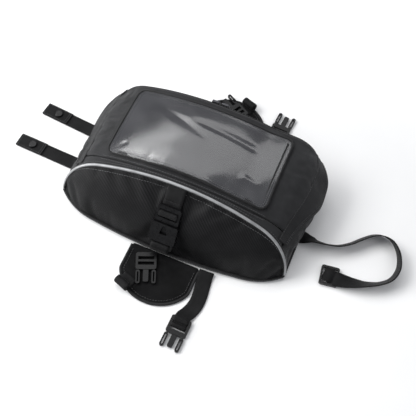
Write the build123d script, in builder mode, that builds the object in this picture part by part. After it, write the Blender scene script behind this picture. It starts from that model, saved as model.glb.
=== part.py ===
"""Motorcycle tank bag in millimetres: +Z up, origin at the centre of the underside of the base.

+X is the bag's length, -Y the side with the moulded front shell. The top is a lid that is hinged along
the front and closed by a zip round its other three sides.
"""

import os
from math import asin, atan, atan2, cos, degrees, radians, sin

from build123d import *

os.makedirs("parts", exist_ok=True)

# The body: an arch in the XZ plane, run from the leaning front to the upright back.
HALF_LENGTH = 159.0
HALF_DEPTH = 96.5  # from the origin to the back, and to the middle of the front edge
TIP_Y = -65.5  # where the front edge meets the ends
SPRING_Z = 5.0  # the arch starts here
RISE = 80.0
SHOULDER_R = 66.0
LEAN = degrees(atan(27.0 / RISE))  # of the front arch, from upright
HINGE_Y = -31.5
SEAM_ANGLE = 38.0  # on the shoulder, above the level of its centre
WALL = 4.0
GAP = 0.6  # between parts that move past each other
BIG = 400.0

# The front edge, seen from above.
FRONT_R = 800.0
FRONT_HALF = 110.0

# The base.
PAD_T = 2.0
PANEL_T = 2.0
BOARD_T = 2.5
FLOOR_Z = PAD_T + PANEL_T
PAD_INSET = 6.0
BOARD_INSET = 10.0
BINDING_T = 2.2
BINDING_LOW = 1.0
BINDING_HIGH = 6.0

# Trim.
PIPING_R = 2.2
SHELL_BULGE = 8.0
SHELL_RUN = 58.0  # how far the shell leans back over its height

# The window pocket on the lid.
WINDOW_Y = 31.0
WINDOW_HALF_X = 107.0
WINDOW_HALF_Y = 55.0
BORDER_W = 8.0
BACKING_T = 0.8
POCKET_H = 7.0
FILM_T = 0.6
MOUTH_HALF = 48.0

# Webbing and its hardware.
WEB = 20.0
WIDE_WEB = 25.0
WEB_T = 1.6
SKIRT_T = 2.4

# Arch geometry that follows from the dimensions above.
SHOULDER_X = HALF_LENGTH - SHOULDER_R
TOP_R = (SHOULDER_X**2 + RISE**2 - SHOULDER_R**2) / (2 * (RISE - SHOULDER_R))
TOP_CENTRE_Z = SPRING_Z + RISE - TOP_R
TANGENT = degrees(atan2(TOP_R - RISE, SHOULDER_X))
TOP_Z = SPRING_Z + RISE


def save(piece, name):
    """Label a finished piece and write its STEP file."""
    piece.label = name
    export_step(piece, f"parts/{name}.step")


def front_plane():
    """The leaning plane of the front arch; its Y runs up the slope."""
    normal = Vector(0, -cos(radians(LEAN)), sin(radians(LEAN)))
    return Plane(origin=Vector(0, TIP_Y, SPRING_Z), x_dir=(1, 0, 0), z_dir=normal)


def arch_lines(inset, right_angle, left_angle):
    """The arch, from an angle on its right shoulder over the top to an angle on its left one."""
    shoulder, top = SHOULDER_R - inset, TOP_R - inset
    right = CenterArc((SHOULDER_X, SPRING_Z), shoulder, right_angle, TANGENT - right_angle)
    CenterArc((0, TOP_CENTRE_Z), top, TANGENT, 180 - 2 * TANGENT)
    left = CenterArc((-SHOULDER_X, SPRING_Z), shoulder, 180 - TANGENT, TANGENT - left_angle)
    return right @ 0, left @ 1


def arch_band(outer, inner, right_angle=SEAM_ANGLE, left_angle=SEAM_ANGLE):
    """The band between two insets of the arch, over its top."""
    with BuildSketch() as band:
        with BuildLine():
            outer_right, outer_left = arch_lines(outer, right_angle, left_angle)
            inner_right, inner_left = arch_lines(inner, right_angle, left_angle)
            Line(outer_right, inner_right)
            Line(outer_left, inner_left)
        make_face()
    return band.sketch


def top_band(outer, inner, half_x):
    """The band between two insets of the top arc alone, out to half_x each way."""
    spread = degrees(asin(half_x / TOP_R))
    with BuildSketch() as band:
        with BuildLine():
            high = CenterArc((0, TOP_CENTRE_Z), TOP_R - outer, 90 - spread, 2 * spread)
            low = CenterArc((0, TOP_CENTRE_Z), TOP_R - inner, 90 - spread, 2 * spread)
            Line(high @ 0, low @ 0)
            Line(high @ 1, low @ 1)
        make_face()
    return band.sketch


def shoulder_band(outer, inner, low_angle, high_angle):
    """The band between two insets of the right shoulder, between two angles."""
    turn = high_angle - low_angle
    with BuildSketch() as band:
        with BuildLine():
            far = CenterArc((SHOULDER_X, SPRING_Z), SHOULDER_R - outer, low_angle, turn)
            near = CenterArc((SHOULDER_X, SPRING_Z), SHOULDER_R - inner, low_angle, turn)
            Line(far @ 0, near @ 0)
            Line(far @ 1, near @ 1)
        make_face()
    return band.sketch


def inside_arch(inset):
    """Everything under the arch, down to the floor panel."""
    half = HALF_LENGTH - inset
    with BuildSketch() as area:
        with BuildLine():
            right, left = arch_lines(inset, 0, 0)
            Polyline(right, (half, FLOOR_Z), (-half, FLOOR_Z), left)
        make_face()
    return area.sketch


def front_edge():
    """The front edge of the plan: a flat middle arc and a tighter arc to each tip."""
    half_angle = degrees(asin(FRONT_HALF / FRONT_R))
    middle = CenterArc((0, FRONT_R - HALF_DEPTH), FRONT_R, 270 - half_angle, 2 * half_angle)
    TangentArc(middle @ 1, (HALF_LENGTH, TIP_Y), tangent=middle % 1)
    TangentArc(middle @ 0, (-HALF_LENGTH, TIP_Y), tangent=(middle % 0) * -1)


def plan_outline():
    """The plan of the bag's base."""
    with BuildSketch() as outline:
        with BuildLine():
            front_edge()
            Polyline(
                (HALF_LENGTH, TIP_Y),
                (HALF_LENGTH, HALF_DEPTH),
                (-HALF_LENGTH, HALF_DEPTH),
                (-HALF_LENGTH, TIP_Y),
            )
        make_face()
    return outline.sketch


# ---------------------------------------------------------------- base
with BuildPart() as grip_pad:
    with BuildSketch():
        add(plan_outline())
        offset(amount=-PAD_INSET)
    extrude(amount=PAD_T)

with BuildPart() as floor_panel:
    with BuildSketch(Plane.XY.offset(PAD_T)):
        add(plan_outline())
    extrude(amount=PANEL_T)

with BuildPart() as base_board:
    with BuildSketch(Plane.XY.offset(FLOOR_Z)):
        add(plan_outline())
        offset(amount=-BOARD_INSET)
    extrude(amount=BOARD_T)

with BuildPart() as edge_binding:
    with BuildSketch(Plane.XY.offset(BINDING_LOW)):
        add(plan_outline())
        offset(amount=BINDING_T)
        add(plan_outline(), mode=Mode.SUBTRACT)
    extrude(amount=BINDING_HIGH - BINDING_LOW)

# ---------------------------------------------------------------- front shell and piping
PIPING_SHOULDER = 70.0
PIPING_RISE = RISE / cos(radians(LEAN))
PIPING_X = HALF_LENGTH - PIPING_SHOULDER
PIPING_TOP_R = (PIPING_X**2 + PIPING_RISE**2 - PIPING_SHOULDER**2) / (2 * (PIPING_RISE - PIPING_SHOULDER))
PIPING_TANGENT = degrees(atan2(PIPING_TOP_R - PIPING_RISE, PIPING_X))
PIPING_FOOT = 4.0  # degrees of the shoulder that the binding takes

with BuildPart() as front_piping:
    with BuildLine(front_plane()) as arch_path:
        right = CenterArc((PIPING_X, 0), PIPING_SHOULDER, PIPING_FOOT, PIPING_TANGENT - PIPING_FOOT)
        CenterArc((0, PIPING_RISE - PIPING_TOP_R), PIPING_TOP_R, PIPING_TANGENT, 180 - 2 * PIPING_TANGENT)
        CenterArc((-PIPING_X, 0), PIPING_SHOULDER, 180 - PIPING_TANGENT, PIPING_TANGENT - PIPING_FOOT)
    with BuildSketch(Plane(origin=right @ 0, z_dir=right % 0)):
        Circle(PIPING_R)
    sweep()

EDGE_TURN = asin(FRONT_HALF / FRONT_R)
EDGE_Y = FRONT_R * (1 - cos(EDGE_TURN)) - HALF_DEPTH
TIP_TURN = 2 * atan2(TIP_Y - EDGE_Y, HALF_LENGTH - FRONT_HALF) - EDGE_TURN

with BuildPart() as front_shell:
    with BuildLine() as shell_path:
        front_edge()
    tip_in = (sin(TIP_TURN), cos(TIP_TURN), 0)
    tip_along = (cos(TIP_TURN), -sin(TIP_TURN), 0)
    with BuildSketch(Plane(origin=(-HALF_LENGTH, TIP_Y, 0), x_dir=tip_in, z_dir=tip_along)):
        with BuildLine():
            skin = SagittaArc((0, FLOOR_Z), (SHELL_RUN, TOP_Z), SHELL_BULGE)
            lining = SagittaArc((WALL, FLOOR_Z), (SHELL_RUN + WALL, TOP_Z), SHELL_BULGE)
            Line(skin @ 0, lining @ 0)
            Line(skin @ 1, lining @ 1)
        make_face()
    sweep(path=shell_path.wires()[0])
    with BuildSketch(Plane.XZ):
        add(inside_arch(0))
    extrude(amount=BIG, mode=Mode.INTERSECT)
    split(bisect_by=front_plane(), keep=Keep.TOP)
    add(front_piping.part, mode=Mode.SUBTRACT)

# ---------------------------------------------------------------- walls behind the piping
with BuildPart() as front_band:
    with BuildSketch(Plane.XZ):
        add(arch_band(0, WALL))
    extrude(amount=BIG, both=True)
    split(bisect_by=front_plane(), keep=Keep.BOTTOM)
    split(bisect_by=Plane.XZ.offset(-HINGE_Y), keep=Keep.TOP)
    add(front_piping.part, mode=Mode.SUBTRACT)

with BuildPart() as right_end_panel:
    with BuildSketch(Plane.XZ):
        add(shoulder_band(0, WALL, 0, SEAM_ANGLE - 1))
        with Locations((HALF_LENGTH - WALL / 2, (FLOOR_Z + SPRING_Z) / 2)):
            Rectangle(WALL, SPRING_Z - FLOOR_Z)
    extrude(amount=BIG, both=True)
    split(bisect_by=front_plane(), keep=Keep.BOTTOM)
    split(bisect_by=Plane.XZ.offset(-HALF_DEPTH), keep=Keep.TOP)
    add(front_piping.part, mode=Mode.SUBTRACT)

with BuildPart() as left_end_panel:
    mirror(right_end_panel.part, about=Plane.YZ)

with BuildPart() as back_panel:
    with BuildSketch(Plane.XZ.offset(-HALF_DEPTH)):
        add(inside_arch(WALL + GAP))
    extrude(amount=WALL)

# ---------------------------------------------------------------- lid
with BuildPart() as lid_panel:
    with BuildSketch(Plane.XZ.offset(-HALF_DEPTH)):
        add(arch_band(0, WALL))
    extrude(amount=HALF_DEPTH - HINGE_Y - GAP)

with BuildPart() as pocket_backing:
    with BuildSketch(Plane.XZ.offset(-WINDOW_Y - WINDOW_HALF_Y)):
        add(top_band(-BACKING_T, 0, WINDOW_HALF_X))
    extrude(amount=2 * WINDOW_HALF_Y)

with BuildPart() as window_border:
    with BuildSketch(Plane.XZ.offset(-WINDOW_Y - WINDOW_HALF_Y)):
        add(top_band(-BACKING_T - POCKET_H, -BACKING_T, WINDOW_HALF_X))
    extrude(amount=2 * WINDOW_HALF_Y)
    with BuildSketch():
        with Locations((0, WINDOW_Y)):
            Rectangle(2 * (WINDOW_HALF_X - BORDER_W), 2 * (WINDOW_HALF_Y - BORDER_W))
        with Locations((0, WINDOW_Y - WINDOW_HALF_Y)):
            Rectangle(2 * MOUTH_HALF, 3 * BORDER_W)
    extrude(amount=BIG, mode=Mode.SUBTRACT)

with BuildPart() as window_film:
    with BuildSketch(Plane.XZ.offset(-WINDOW_Y - WINDOW_HALF_Y)):
        add(top_band(-BACKING_T - POCKET_H - FILM_T, -BACKING_T - POCKET_H, WINDOW_HALF_X))
    extrude(amount=2 * WINDOW_HALF_Y)

# ---------------------------------------------------------------- zip round the lid
TAPE_T = 0.8
TOOTH_T = 1.2
BODY_TAPE_INSETS = (6.0, 12.0)
BODY_TOOTH_INSETS = (4.8, 6.0)
LID_TOOTH_INSETS = (2.8, 4.0)
LID_TAPE_INSETS = (0.6, 2.8)
SIDE_FRONT_Y = HINGE_Y + 6.0


def zip_row(thickness, insets, angles):
    """One row of the zip: across the back face, and along each shoulder seam between two angles."""
    with BuildPart(mode=Mode.PRIVATE) as row:
        with BuildSketch(Plane.XZ.offset(-HALF_DEPTH)):
            add(arch_band(*insets, SEAM_ANGLE + 4, SEAM_ANGLE + 4))
        extrude(amount=-thickness)
        with BuildSketch(Plane.XZ.offset(-HALF_DEPTH)):
            add(shoulder_band(-thickness, 0, *angles))
            mirror(about=Plane.YZ)
        extrude(amount=HALF_DEPTH - SIDE_FRONT_Y)
    return row.part


ZIP_ROWS = {
    "zip_body_tape": zip_row(TAPE_T, BODY_TAPE_INSETS, (SEAM_ANGLE - 8, SEAM_ANGLE - 2.6)),
    "zip_body_teeth": zip_row(TOOTH_T, BODY_TOOTH_INSETS, (SEAM_ANGLE - 2.6, SEAM_ANGLE - 1.4)),
    "zip_lid_teeth": zip_row(TOOTH_T, LID_TOOTH_INSETS, (SEAM_ANGLE, SEAM_ANGLE + 1.2)),
    "zip_lid_tape": zip_row(TAPE_T, LID_TAPE_INSETS, (SEAM_ANGLE + 1.2, SEAM_ANGLE + 6)),
}

# Storm flaps over the shoulder runs of the zip.
FLAP_T = 1.2
FLAP_STAND = 2.0
FLAP_TOP = SEAM_ANGLE + 6.0
FLAP_FOOT = SEAM_ANGLE - 17.0
FLAP_SHORT = 2.0

with BuildPart() as right_flap:
    with BuildSketch(Plane.XZ.offset(FLAP_SHORT - HALF_DEPTH)):
        add(shoulder_band(-FLAP_STAND - FLAP_T, -FLAP_STAND, FLAP_FOOT, FLAP_TOP))
    extrude(amount=HALF_DEPTH - FLAP_SHORT - SIDE_FRONT_Y)

with BuildPart() as left_flap:
    mirror(right_flap.part, about=Plane.YZ)

# Two sliders that meet in the middle of the back run; each swings about the centre of the top arc.
SLIDER_L = 11.0
SLIDER_W = 8.5
SLIDER_T = 3.0
SLIDER_STAND = 2.4
SLIDER_ANGLE = degrees(7.0 / TOP_R)
SEAM_INSET = (BODY_TOOTH_INSETS[0] + LID_TOOTH_INSETS[1]) / 2
PULL_L = 24.0
PULL_W = 6.0
PULL_T = 1.4
PULL_DROP = 1.6
PULL_STAND = 3.2


def on_back(side, drop=0.0, stand=SLIDER_STAND):
    """A plane on the back seam for one slider: X along the zip, Y up, Z out of the bag."""
    angle = radians(90 - side * SLIDER_ANGLE)
    reach = TOP_R - SEAM_INSET - drop
    origin = (reach * cos(angle), HALF_DEPTH + stand, TOP_CENTRE_Z + reach * sin(angle))
    return Plane(origin=origin, x_dir=(-sin(angle), 0, cos(angle)), z_dir=(0, 1, 0))


def slider(side):
    """The slider's plate."""
    with BuildPart(mode=Mode.PRIVATE) as piece:
        with BuildSketch(on_back(side)):
            RectangleRounded(SLIDER_L, SLIDER_W, 2)
        extrude(amount=SLIDER_T)
    return piece.part


def pull(side):
    """The pull tab, hanging from just under the slider."""
    with BuildPart(mode=Mode.PRIVATE) as piece:
        with BuildSketch(on_back(side, SLIDER_W / 2 + PULL_DROP + PULL_L / 2, PULL_STAND)):
            RectangleRounded(PULL_W, PULL_L, 2.5)
            with Locations((0, PULL_L / 2 - 3)):
                Circle(1.2, mode=Mode.SUBTRACT)
        extrude(amount=PULL_T)
    return piece.part


# ---------------------------------------------------------------- side-release buckles
FRAME_L = 24.0
FRAME_T = 4.0
FRAME_RIM = 3.5
SLOT_L = 4.5
SLOTS_Y = (8.5, 16.0)
ARM_L = 19.0
ARM_W = 5.5
ARM_T = 3.0
ARM_HOLE = 2.0
ARM_CLEAR = 0.5
GUIDE_W = 7.0
GUIDE_L = 17.0
GUIDE_T = 2.6


def arm_x(web):
    """How far from the middle of a male buckle its arms run."""
    return web / 2 + FRAME_RIM - ARM_W / 2 - 0.4


def male_frame(at, web):
    """The ladder end of a male buckle and its guide; the webbing end is +Y of the plane."""
    with BuildPart(mode=Mode.PRIVATE) as frame:
        with BuildSketch(at.offset(-FRAME_T / 2)):
            with Locations((0, FRAME_L / 2)):
                RectangleRounded(web + 2 * FRAME_RIM, FRAME_L, 3)
            with Locations(*[(0, y) for y in SLOTS_Y]):
                Rectangle(web + 1, SLOT_L, mode=Mode.SUBTRACT)
        extrude(amount=FRAME_T)
        with BuildSketch(at.offset(-GUIDE_T / 2)):
            with Locations((0, -GUIDE_L / 2 + 1)):
                RectangleRounded(GUIDE_W, GUIDE_L + 2, 2)
        extrude(amount=GUIDE_T)
    return frame.part


def male_arm(at, web, side):
    """One sprung arm, a long loop that is pressed inwards to let the buckle go."""
    with BuildPart(mode=Mode.PRIVATE) as arm:
        with BuildSketch(at.offset(-ARM_T / 2)):
            with Locations((side * arm_x(web), -ARM_CLEAR - ARM_L / 2)):
                SlotOverall(ARM_L, ARM_W, rotation=90)
                SlotOverall(ARM_L - 5, ARM_HOLE, rotation=90, mode=Mode.SUBTRACT)
        extrude(amount=ARM_T)
    return arm.part


FEMALE_L = 36.0
FEMALE_T = 9.0
FEMALE_TOP = 0.6
CAVITY_T = 4.2
CAVITY_L = 22.5
CAVITY_SIDE = 0.5
TAIL_L = 9.0
TAIL_T = 5.0
SIDE_WALL = 1.8
PRESS_Y = -13.5
PRESS_L = 13.0
TOP_WINDOW = ((-2.5, -3.5), (2.5, -3.5), (5.0, -15.5), (-5.0, -15.5))


def female(at, web):
    """The socket of a buckle: its cavity, side windows, top window and webbing bar."""
    half = arm_x(web) + ARM_W / 2 + CAVITY_SIDE
    head = FEMALE_L - TAIL_L
    with BuildPart(mode=Mode.PRIVATE) as socket:
        with BuildSketch(at.offset(-FEMALE_T / 2)):
            with Locations((0, -FEMALE_TOP - head / 2)):
                RectangleRounded(2 * (half + SIDE_WALL), head, 3)
        extrude(amount=FEMALE_T)
        with BuildSketch(at.offset(-TAIL_T / 2)):
            with Locations((0, -FEMALE_TOP - FEMALE_L + TAIL_L / 2 + 1)):
                RectangleRounded(2 * half, TAIL_L + 2, 2)
            with Locations((0, 1 - FEMALE_L + TAIL_L / 2)):
                Rectangle(web + 1, SLOT_L - 1, mode=Mode.SUBTRACT)
        extrude(amount=TAIL_T)
        with BuildSketch(at.offset(-CAVITY_T / 2)):
            with Locations((0, -CAVITY_L / 2)):
                Rectangle(2 * half, CAVITY_L)
            with Locations((0, PRESS_Y)):
                Rectangle(2 * half + 4 * SIDE_WALL, PRESS_L)
        extrude(amount=CAVITY_T, mode=Mode.SUBTRACT)
        with BuildSketch(at.offset(CAVITY_T / 2 - 0.1)):
            with BuildLine():
                Polyline(*[(x, y) for x, y in TOP_WINDOW], close=True)
            make_face()
        extrude(amount=FEMALE_T, mode=Mode.SUBTRACT)
    return socket.part


def frame_turn(at, web):
    """The webbing's turn over the bar of a male frame."""
    low, high = SLOTS_Y[0] + SLOT_L / 2, SLOTS_Y[1] - SLOT_L / 2
    with BuildPart(mode=Mode.PRIVATE) as turn:
        with BuildSketch(at.offset(-FRAME_T / 2)):
            with Locations((0, low - 0.3 - WEB_T / 2), (0, high + 0.3 + WEB_T / 2)):
                Rectangle(web, WEB_T)
        extrude(amount=FRAME_T + 0.3)
        with BuildSketch(at.offset(FRAME_T / 2 + 0.3)):
            with Locations((0, (low + high) / 2)):
                Rectangle(web, high - low + 0.6 + 2 * WEB_T)
        extrude(amount=WEB_T)
    return turn.part


# ---------------------------------------------------------------- centre strap on the front shell
CHORD = Vector(0, SHELL_RUN, TOP_Z - FLOOR_Z)
SKIN_R = (CHORD.length**2 / 4 + SHELL_BULGE**2) / (2 * SHELL_BULGE)
SLOPE = degrees(atan2(TOP_Z - FLOOR_Z, SHELL_RUN))
FOOT = Vector(0, -HALF_DEPTH, FLOOR_Z)
UP_SLOPE = CHORD.normalized()
OFF_SHELL = Vector(0, -UP_SLOPE.Z, UP_SLOPE.Y)
SKIN_CENTRE = FOOT + CHORD * 0.5 - OFF_SHELL * (SKIN_R - SHELL_BULGE)
SKIN_HALF = degrees(asin(CHORD.length / 2 / SKIN_R))
BUCKLE_OFF = 13.2
STRAP_OFF = 0.3
STRAP_MARGIN = 1.5  # degrees of the skin's arc left bare at each end

centre_place = Plane(
    origin=FOOT + CHORD * 0.5 + OFF_SHELL * BUCKLE_OFF,
    x_dir=(1, 0, 0),
    z_dir=OFF_SHELL,
)


def on_slope(along, off):
    """A point of the YZ plane given up the front's chord and off it."""
    point = FOOT + UP_SLOPE * along + OFF_SHELL * off
    return (point.Y, point.Z)


with BuildPart() as centre_strap:
    with BuildSketch(Plane.YZ.offset(-WIDE_WEB / 2)):
        with BuildLine():
            first = SLOPE + 90 - SKIN_HALF + STRAP_MARGIN
            turn = SKIN_HALF - 2 * STRAP_MARGIN
            middle = (SKIN_CENTRE.Y, SKIN_CENTRE.Z)
            low = CenterArc(middle, SKIN_R + STRAP_OFF, first, turn)
            high = CenterArc(middle, SKIN_R + STRAP_OFF + WEB_T, first, turn)
            Line(low @ 0, high @ 0)
            Line(low @ 1, high @ 1)
        make_face()
    extrude(amount=WIDE_WEB)

with BuildPart() as centre_web:
    with BuildSketch(Plane.YZ.offset(-WIDE_WEB / 2)):
        with BuildLine():
            low, high = (2.0, 3.6), (22.0, 8.4)
            Polyline(
                on_slope(*high),
                on_slope(*low),
                on_slope(low[0], low[1] + WEB_T),
                on_slope(high[0], high[1] + WEB_T),
                close=True,
            )
        make_face()
    extrude(amount=WIDE_WEB)

# ---------------------------------------------------------------- skirts
SKIRT_X = (-39.5, 56.0)
SKIRT_ROOT = HALF_DEPTH + BINDING_T + 2.6
SKIRT_STRAIGHT = 36.0
SKIRT_REACH = 67.0


def skirt(side):
    """A flap of the saddle base with a rounded end, lying flat outside the front or the back."""
    left, right = SKIRT_X
    root, corner, tip = (side * (SKIRT_ROOT + d) for d in (0, SKIRT_STRAIGHT, SKIRT_REACH))
    with BuildPart(mode=Mode.PRIVATE) as flap:
        with BuildSketch():
            with BuildLine():
                Polyline((left, corner), (left, root), (right, root), (right, corner))
                ThreePointArc((left, corner), ((left + right) / 2, tip), (right, corner))
            make_face()
        extrude(amount=SKIRT_T)
    return flap.part


def flat_place(x, y, z, heading):
    """A level plane at a point, with its -Y axis along a heading in degrees from +X."""
    turn = radians(heading + 90)
    return Plane(origin=(x, y, z), x_dir=(cos(turn), sin(turn), 0), z_dir=(0, 0, 1))


ROLL_R = 6.5
ROLL_CORE = 1.6


def web_roll(x, y, heading, low=SKIRT_T):
    """Spare webbing rolled up on itself, lying on its side."""
    axis = Vector(cos(radians(heading)), sin(radians(heading)), 0)
    foot = Vector(x, y, low + ROLL_R) - axis * (WEB / 2)
    with BuildPart(mode=Mode.PRIVATE) as roll:
        with BuildSketch(Plane(origin=foot, z_dir=axis)):
            Circle(ROLL_R)
            Circle(ROLL_CORE, mode=Mode.SUBTRACT)
        extrude(amount=WEB)
    return roll.part


def flat_web(*points, low=0.0):
    """Level webbing, straight or with a bend between straight stretches."""
    with BuildPart(mode=Mode.PRIVATE) as web:
        with BuildSketch(Plane.XY.offset(low)):
            with BuildLine():
                if len(points) == 2:
                    Line(*points)
                else:
                    FilletPolyline(*points, radius=WEB)
            trace(line_width=WEB)
        extrude(amount=WEB_T)
    return web.part


# ---------------------------------------------------------------- end straps
END_ROOT_X = HALF_LENGTH + BINDING_T + 2.0
LEFT_STRAPS = {
    "left_rear": ((-END_ROOT_X, 36.2), (-248.0, 44.3), 0.52),
    "left_front": ((-END_ROOT_X, -22.0), (-257.5, -17.7), 0.56),
}
STUD_R = 6.0
STUD_T = 2.2
STUD_SHARE = 0.45


def between(start, end, share):
    """The point that is a share of the way from start to end."""
    return tuple(a + (b - a) * share for a, b in zip(start, end))


def left_strap(root, end, seam_share):
    """A webbing strap whose end is folded back and sewn double."""
    return flat_web(root, end) + flat_web(between(root, end, seam_share), end, low=WEB_T)


def press_stud(root, end, seam_share):
    """The cap of a press stud on the doubled end of a strap."""
    seam = between(root, end, seam_share)
    with BuildPart(mode=Mode.PRIVATE) as stud:
        with BuildSketch(Plane.XY.offset(2 * WEB_T)):
            with Locations(between(seam, end, STUD_SHARE)):
                Circle(STUD_R)
        extrude(amount=STUD_T)
        fillet(stud.edges().filter_by(GeomType.CIRCLE).sort_by(Axis.Z)[-1], 1.4)
    return stud.part


RIGHT_Y = -2.5
RIGHT_FLAT_END = 190.0
RIGHT_ROUTE = [
    (188.0, RIGHT_Y),
    (212.0, 1.0),
    (236.0, 23.5),
    (256.0, 40.0),
    (280.0, 37.0),
    (294.0, 12.0),
    (288.0, -18.0),
    (264.0, -34.0),
    (230.5, -38.5),
]
RIGHT_BEND_R = 11.0
EDGE_H = 17.3
EDGE_T = 1.8

with BuildPart() as right_strap:
    add(flat_web((END_ROOT_X, RIGHT_Y), (RIGHT_FLAT_END, RIGHT_Y)))
    with BuildSketch():
        with BuildLine():
            FilletPolyline(*RIGHT_ROUTE, radius=RIGHT_BEND_R)
        trace(line_width=EDGE_T)
    extrude(amount=EDGE_H)

LADDER_L = 24.0
ladder_place = flat_place(214.0, -40.5, 0.2, 188.0)
with BuildPart() as right_ladder_lock:
    with BuildSketch(ladder_place):
        RectangleRounded(WEB + 2 * FRAME_RIM, LADDER_L, 3)
        with Locations((0, -LADDER_L / 4), (0, LADDER_L / 4)):
            Rectangle(WEB + 1, LADDER_L / 2 - 5, mode=Mode.SUBTRACT)
    extrude(amount=FRAME_T)

# ---------------------------------------------------------------- buckles and straps on the skirts
ON_SKIRT_Z = SKIRT_T + FRAME_T / 2 + 0.2
ON_GROUND_Z = FRAME_T / 2
MALES = {
    "centre_buckle": (centre_place, WIDE_WEB),
    "front_loose_buckle": (flat_place(-7.0, -129.0, ON_SKIRT_Z, -67.0), WEB),
    "rear_loose_buckle": (flat_place(-1.5, 153.0, ON_SKIRT_Z, 150.0), WEB),
    "front_side_buckle": (flat_place(62.5, -193.5, ON_GROUND_Z, -91.0), WEB),
    "rear_side_buckle": (flat_place(78.0, 154.0, ON_GROUND_Z, 86.0), WEB),
}
FRONT_STRAP = ((67.0, -SKIRT_ROOT), (71.0, -142.0), (65.8, -165.3))
REAR_STRAP = ((76.0, SKIRT_ROOT), (76.0, 127.0))

pieces = {
    "grip_pad": grip_pad.part,
    "floor_panel": floor_panel.part,
    "base_board": base_board.part,
    "edge_binding": edge_binding.part,
    "front_piping": front_piping.part,
    "front_shell": front_shell.part,
    "front_band": front_band.part,
    "right_end_panel": right_end_panel.part,
    "left_end_panel": left_end_panel.part,
    "back_panel": back_panel.part,
    "lid_panel": lid_panel.part,
    "pocket_backing": pocket_backing.part,
    "window_border": window_border.part,
    "window_film": window_film.part,
    "right_storm_flap": right_flap.part,
    "left_storm_flap": left_flap.part,
    "left_zip_slider": slider(-1),
    "right_zip_slider": slider(1),
    "left_zip_pull": pull(-1),
    "right_zip_pull": pull(1),
    "centre_strap": centre_strap.part,
    "centre_strap_turn": frame_turn(centre_place, WIDE_WEB),
    "centre_buckle_socket": female(centre_place, WIDE_WEB),
    "centre_lower_web": centre_web.part,
    "front_skirt": skirt(-1),
    "rear_skirt": skirt(1),
    "front_web_roll": web_roll(-26.0, -158.5, -20.0),
    "rear_web_roll": web_roll(21.5, 166.0, -20.0),
    "right_strap": right_strap.part,
    "right_ladder_lock": right_ladder_lock.part,
    "front_side_strap": flat_web(*FRONT_STRAP),
    "rear_side_strap": flat_web(*REAR_STRAP),
    **ZIP_ROWS,
}
for name, strap in LEFT_STRAPS.items():
    pieces[f"{name}_strap"] = left_strap(*strap)
    pieces[f"{name}_press_stud"] = press_stud(*strap)
for name, (place, web) in MALES.items():
    pieces[name] = male_frame(place, web)
    pieces[f"{name}_left_arm"] = male_arm(place, web, -1)
    pieces[f"{name}_right_arm"] = male_arm(place, web, 1)

for name, piece in pieces.items():
    save(piece, name)
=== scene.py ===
"""The looks of a motorcycle tank bag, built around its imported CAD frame."""

import math

import bmesh
import bpy
import numpy as np
from mathutils import Matrix, Vector


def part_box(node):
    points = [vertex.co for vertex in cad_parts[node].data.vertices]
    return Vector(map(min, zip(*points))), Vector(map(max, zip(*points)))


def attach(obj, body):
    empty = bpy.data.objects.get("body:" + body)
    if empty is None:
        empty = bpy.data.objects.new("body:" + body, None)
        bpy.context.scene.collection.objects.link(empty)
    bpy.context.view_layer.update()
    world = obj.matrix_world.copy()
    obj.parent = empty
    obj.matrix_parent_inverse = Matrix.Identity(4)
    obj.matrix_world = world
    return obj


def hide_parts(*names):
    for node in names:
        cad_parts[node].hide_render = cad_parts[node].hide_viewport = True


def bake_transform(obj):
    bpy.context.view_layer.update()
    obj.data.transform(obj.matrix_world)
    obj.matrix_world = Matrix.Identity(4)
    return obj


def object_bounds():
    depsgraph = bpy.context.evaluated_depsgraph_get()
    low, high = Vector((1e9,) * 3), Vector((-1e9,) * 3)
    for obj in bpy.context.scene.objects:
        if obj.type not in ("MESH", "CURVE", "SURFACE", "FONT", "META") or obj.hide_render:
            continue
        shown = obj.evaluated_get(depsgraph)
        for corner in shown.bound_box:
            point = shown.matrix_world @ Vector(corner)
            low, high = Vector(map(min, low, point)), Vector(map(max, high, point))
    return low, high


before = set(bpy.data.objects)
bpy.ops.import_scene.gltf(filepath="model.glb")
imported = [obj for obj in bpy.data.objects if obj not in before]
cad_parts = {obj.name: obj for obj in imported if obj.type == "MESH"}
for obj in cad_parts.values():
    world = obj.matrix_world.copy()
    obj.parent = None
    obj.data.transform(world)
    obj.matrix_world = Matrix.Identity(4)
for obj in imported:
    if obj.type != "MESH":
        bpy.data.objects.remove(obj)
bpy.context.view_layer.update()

MM = 0.001
Z = np.array((0.0, 0.0, 1.0))


def box_mm(node):
    """A CAD node's lowest and highest corners in millimetres."""
    low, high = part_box(node)
    return np.array(low) / MM, np.array(high) / MM


# ---------------------------------------------------------------- the bag's lines, in millimetres
HALF_LENGTH = box_mm("right_end_panel")[1][0]
BACK_Y = box_mm("lid_panel")[1][1]
HINGE_Y = box_mm("lid_panel")[0][1]
TOP_Z = box_mm("lid_panel")[1][2]
TIP_Y = -65.5
SPRING_Z = 5.0
RISE = TOP_Z - SPRING_Z
SHOULDER_R = 66.0
SHOULDER_X = HALF_LENGTH - SHOULDER_R
TOP_R = (SHOULDER_X**2 + RISE**2 - SHOULDER_R**2) / (2 * (RISE - SHOULDER_R))
TOP_CENTRE_Z = TOP_Z - TOP_R
TANGENT = math.atan2(TOP_R - RISE, SHOULDER_X)
LEAN_RUN = 27.0 / 80.0
SEAM = math.radians(38.0)
FLOOR_Z = 4.0
FRONT_R = 800.0
FRONT_HALF = 110.0
CORNER_R = 36.0
SKIN_T, FLAP_T, LID_T, FILM_T, SADDLE_T = 1.6, 0.85, 2.6, 0.5, 1.7
CROWN = 5.0
SWELL_RIGHT, SWELL_LEFT = 17.0, 1.5
WEB_WIDTH, CENTRE_WEB_WIDTH = 20.0, 25.0
WINDOW_Y, WINDOW_HALF_X, WINDOW_HALF_Y, BORDER = 31.0, 112.0, 55.5, 8.0
HINGE_GAP = 0.3

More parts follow.
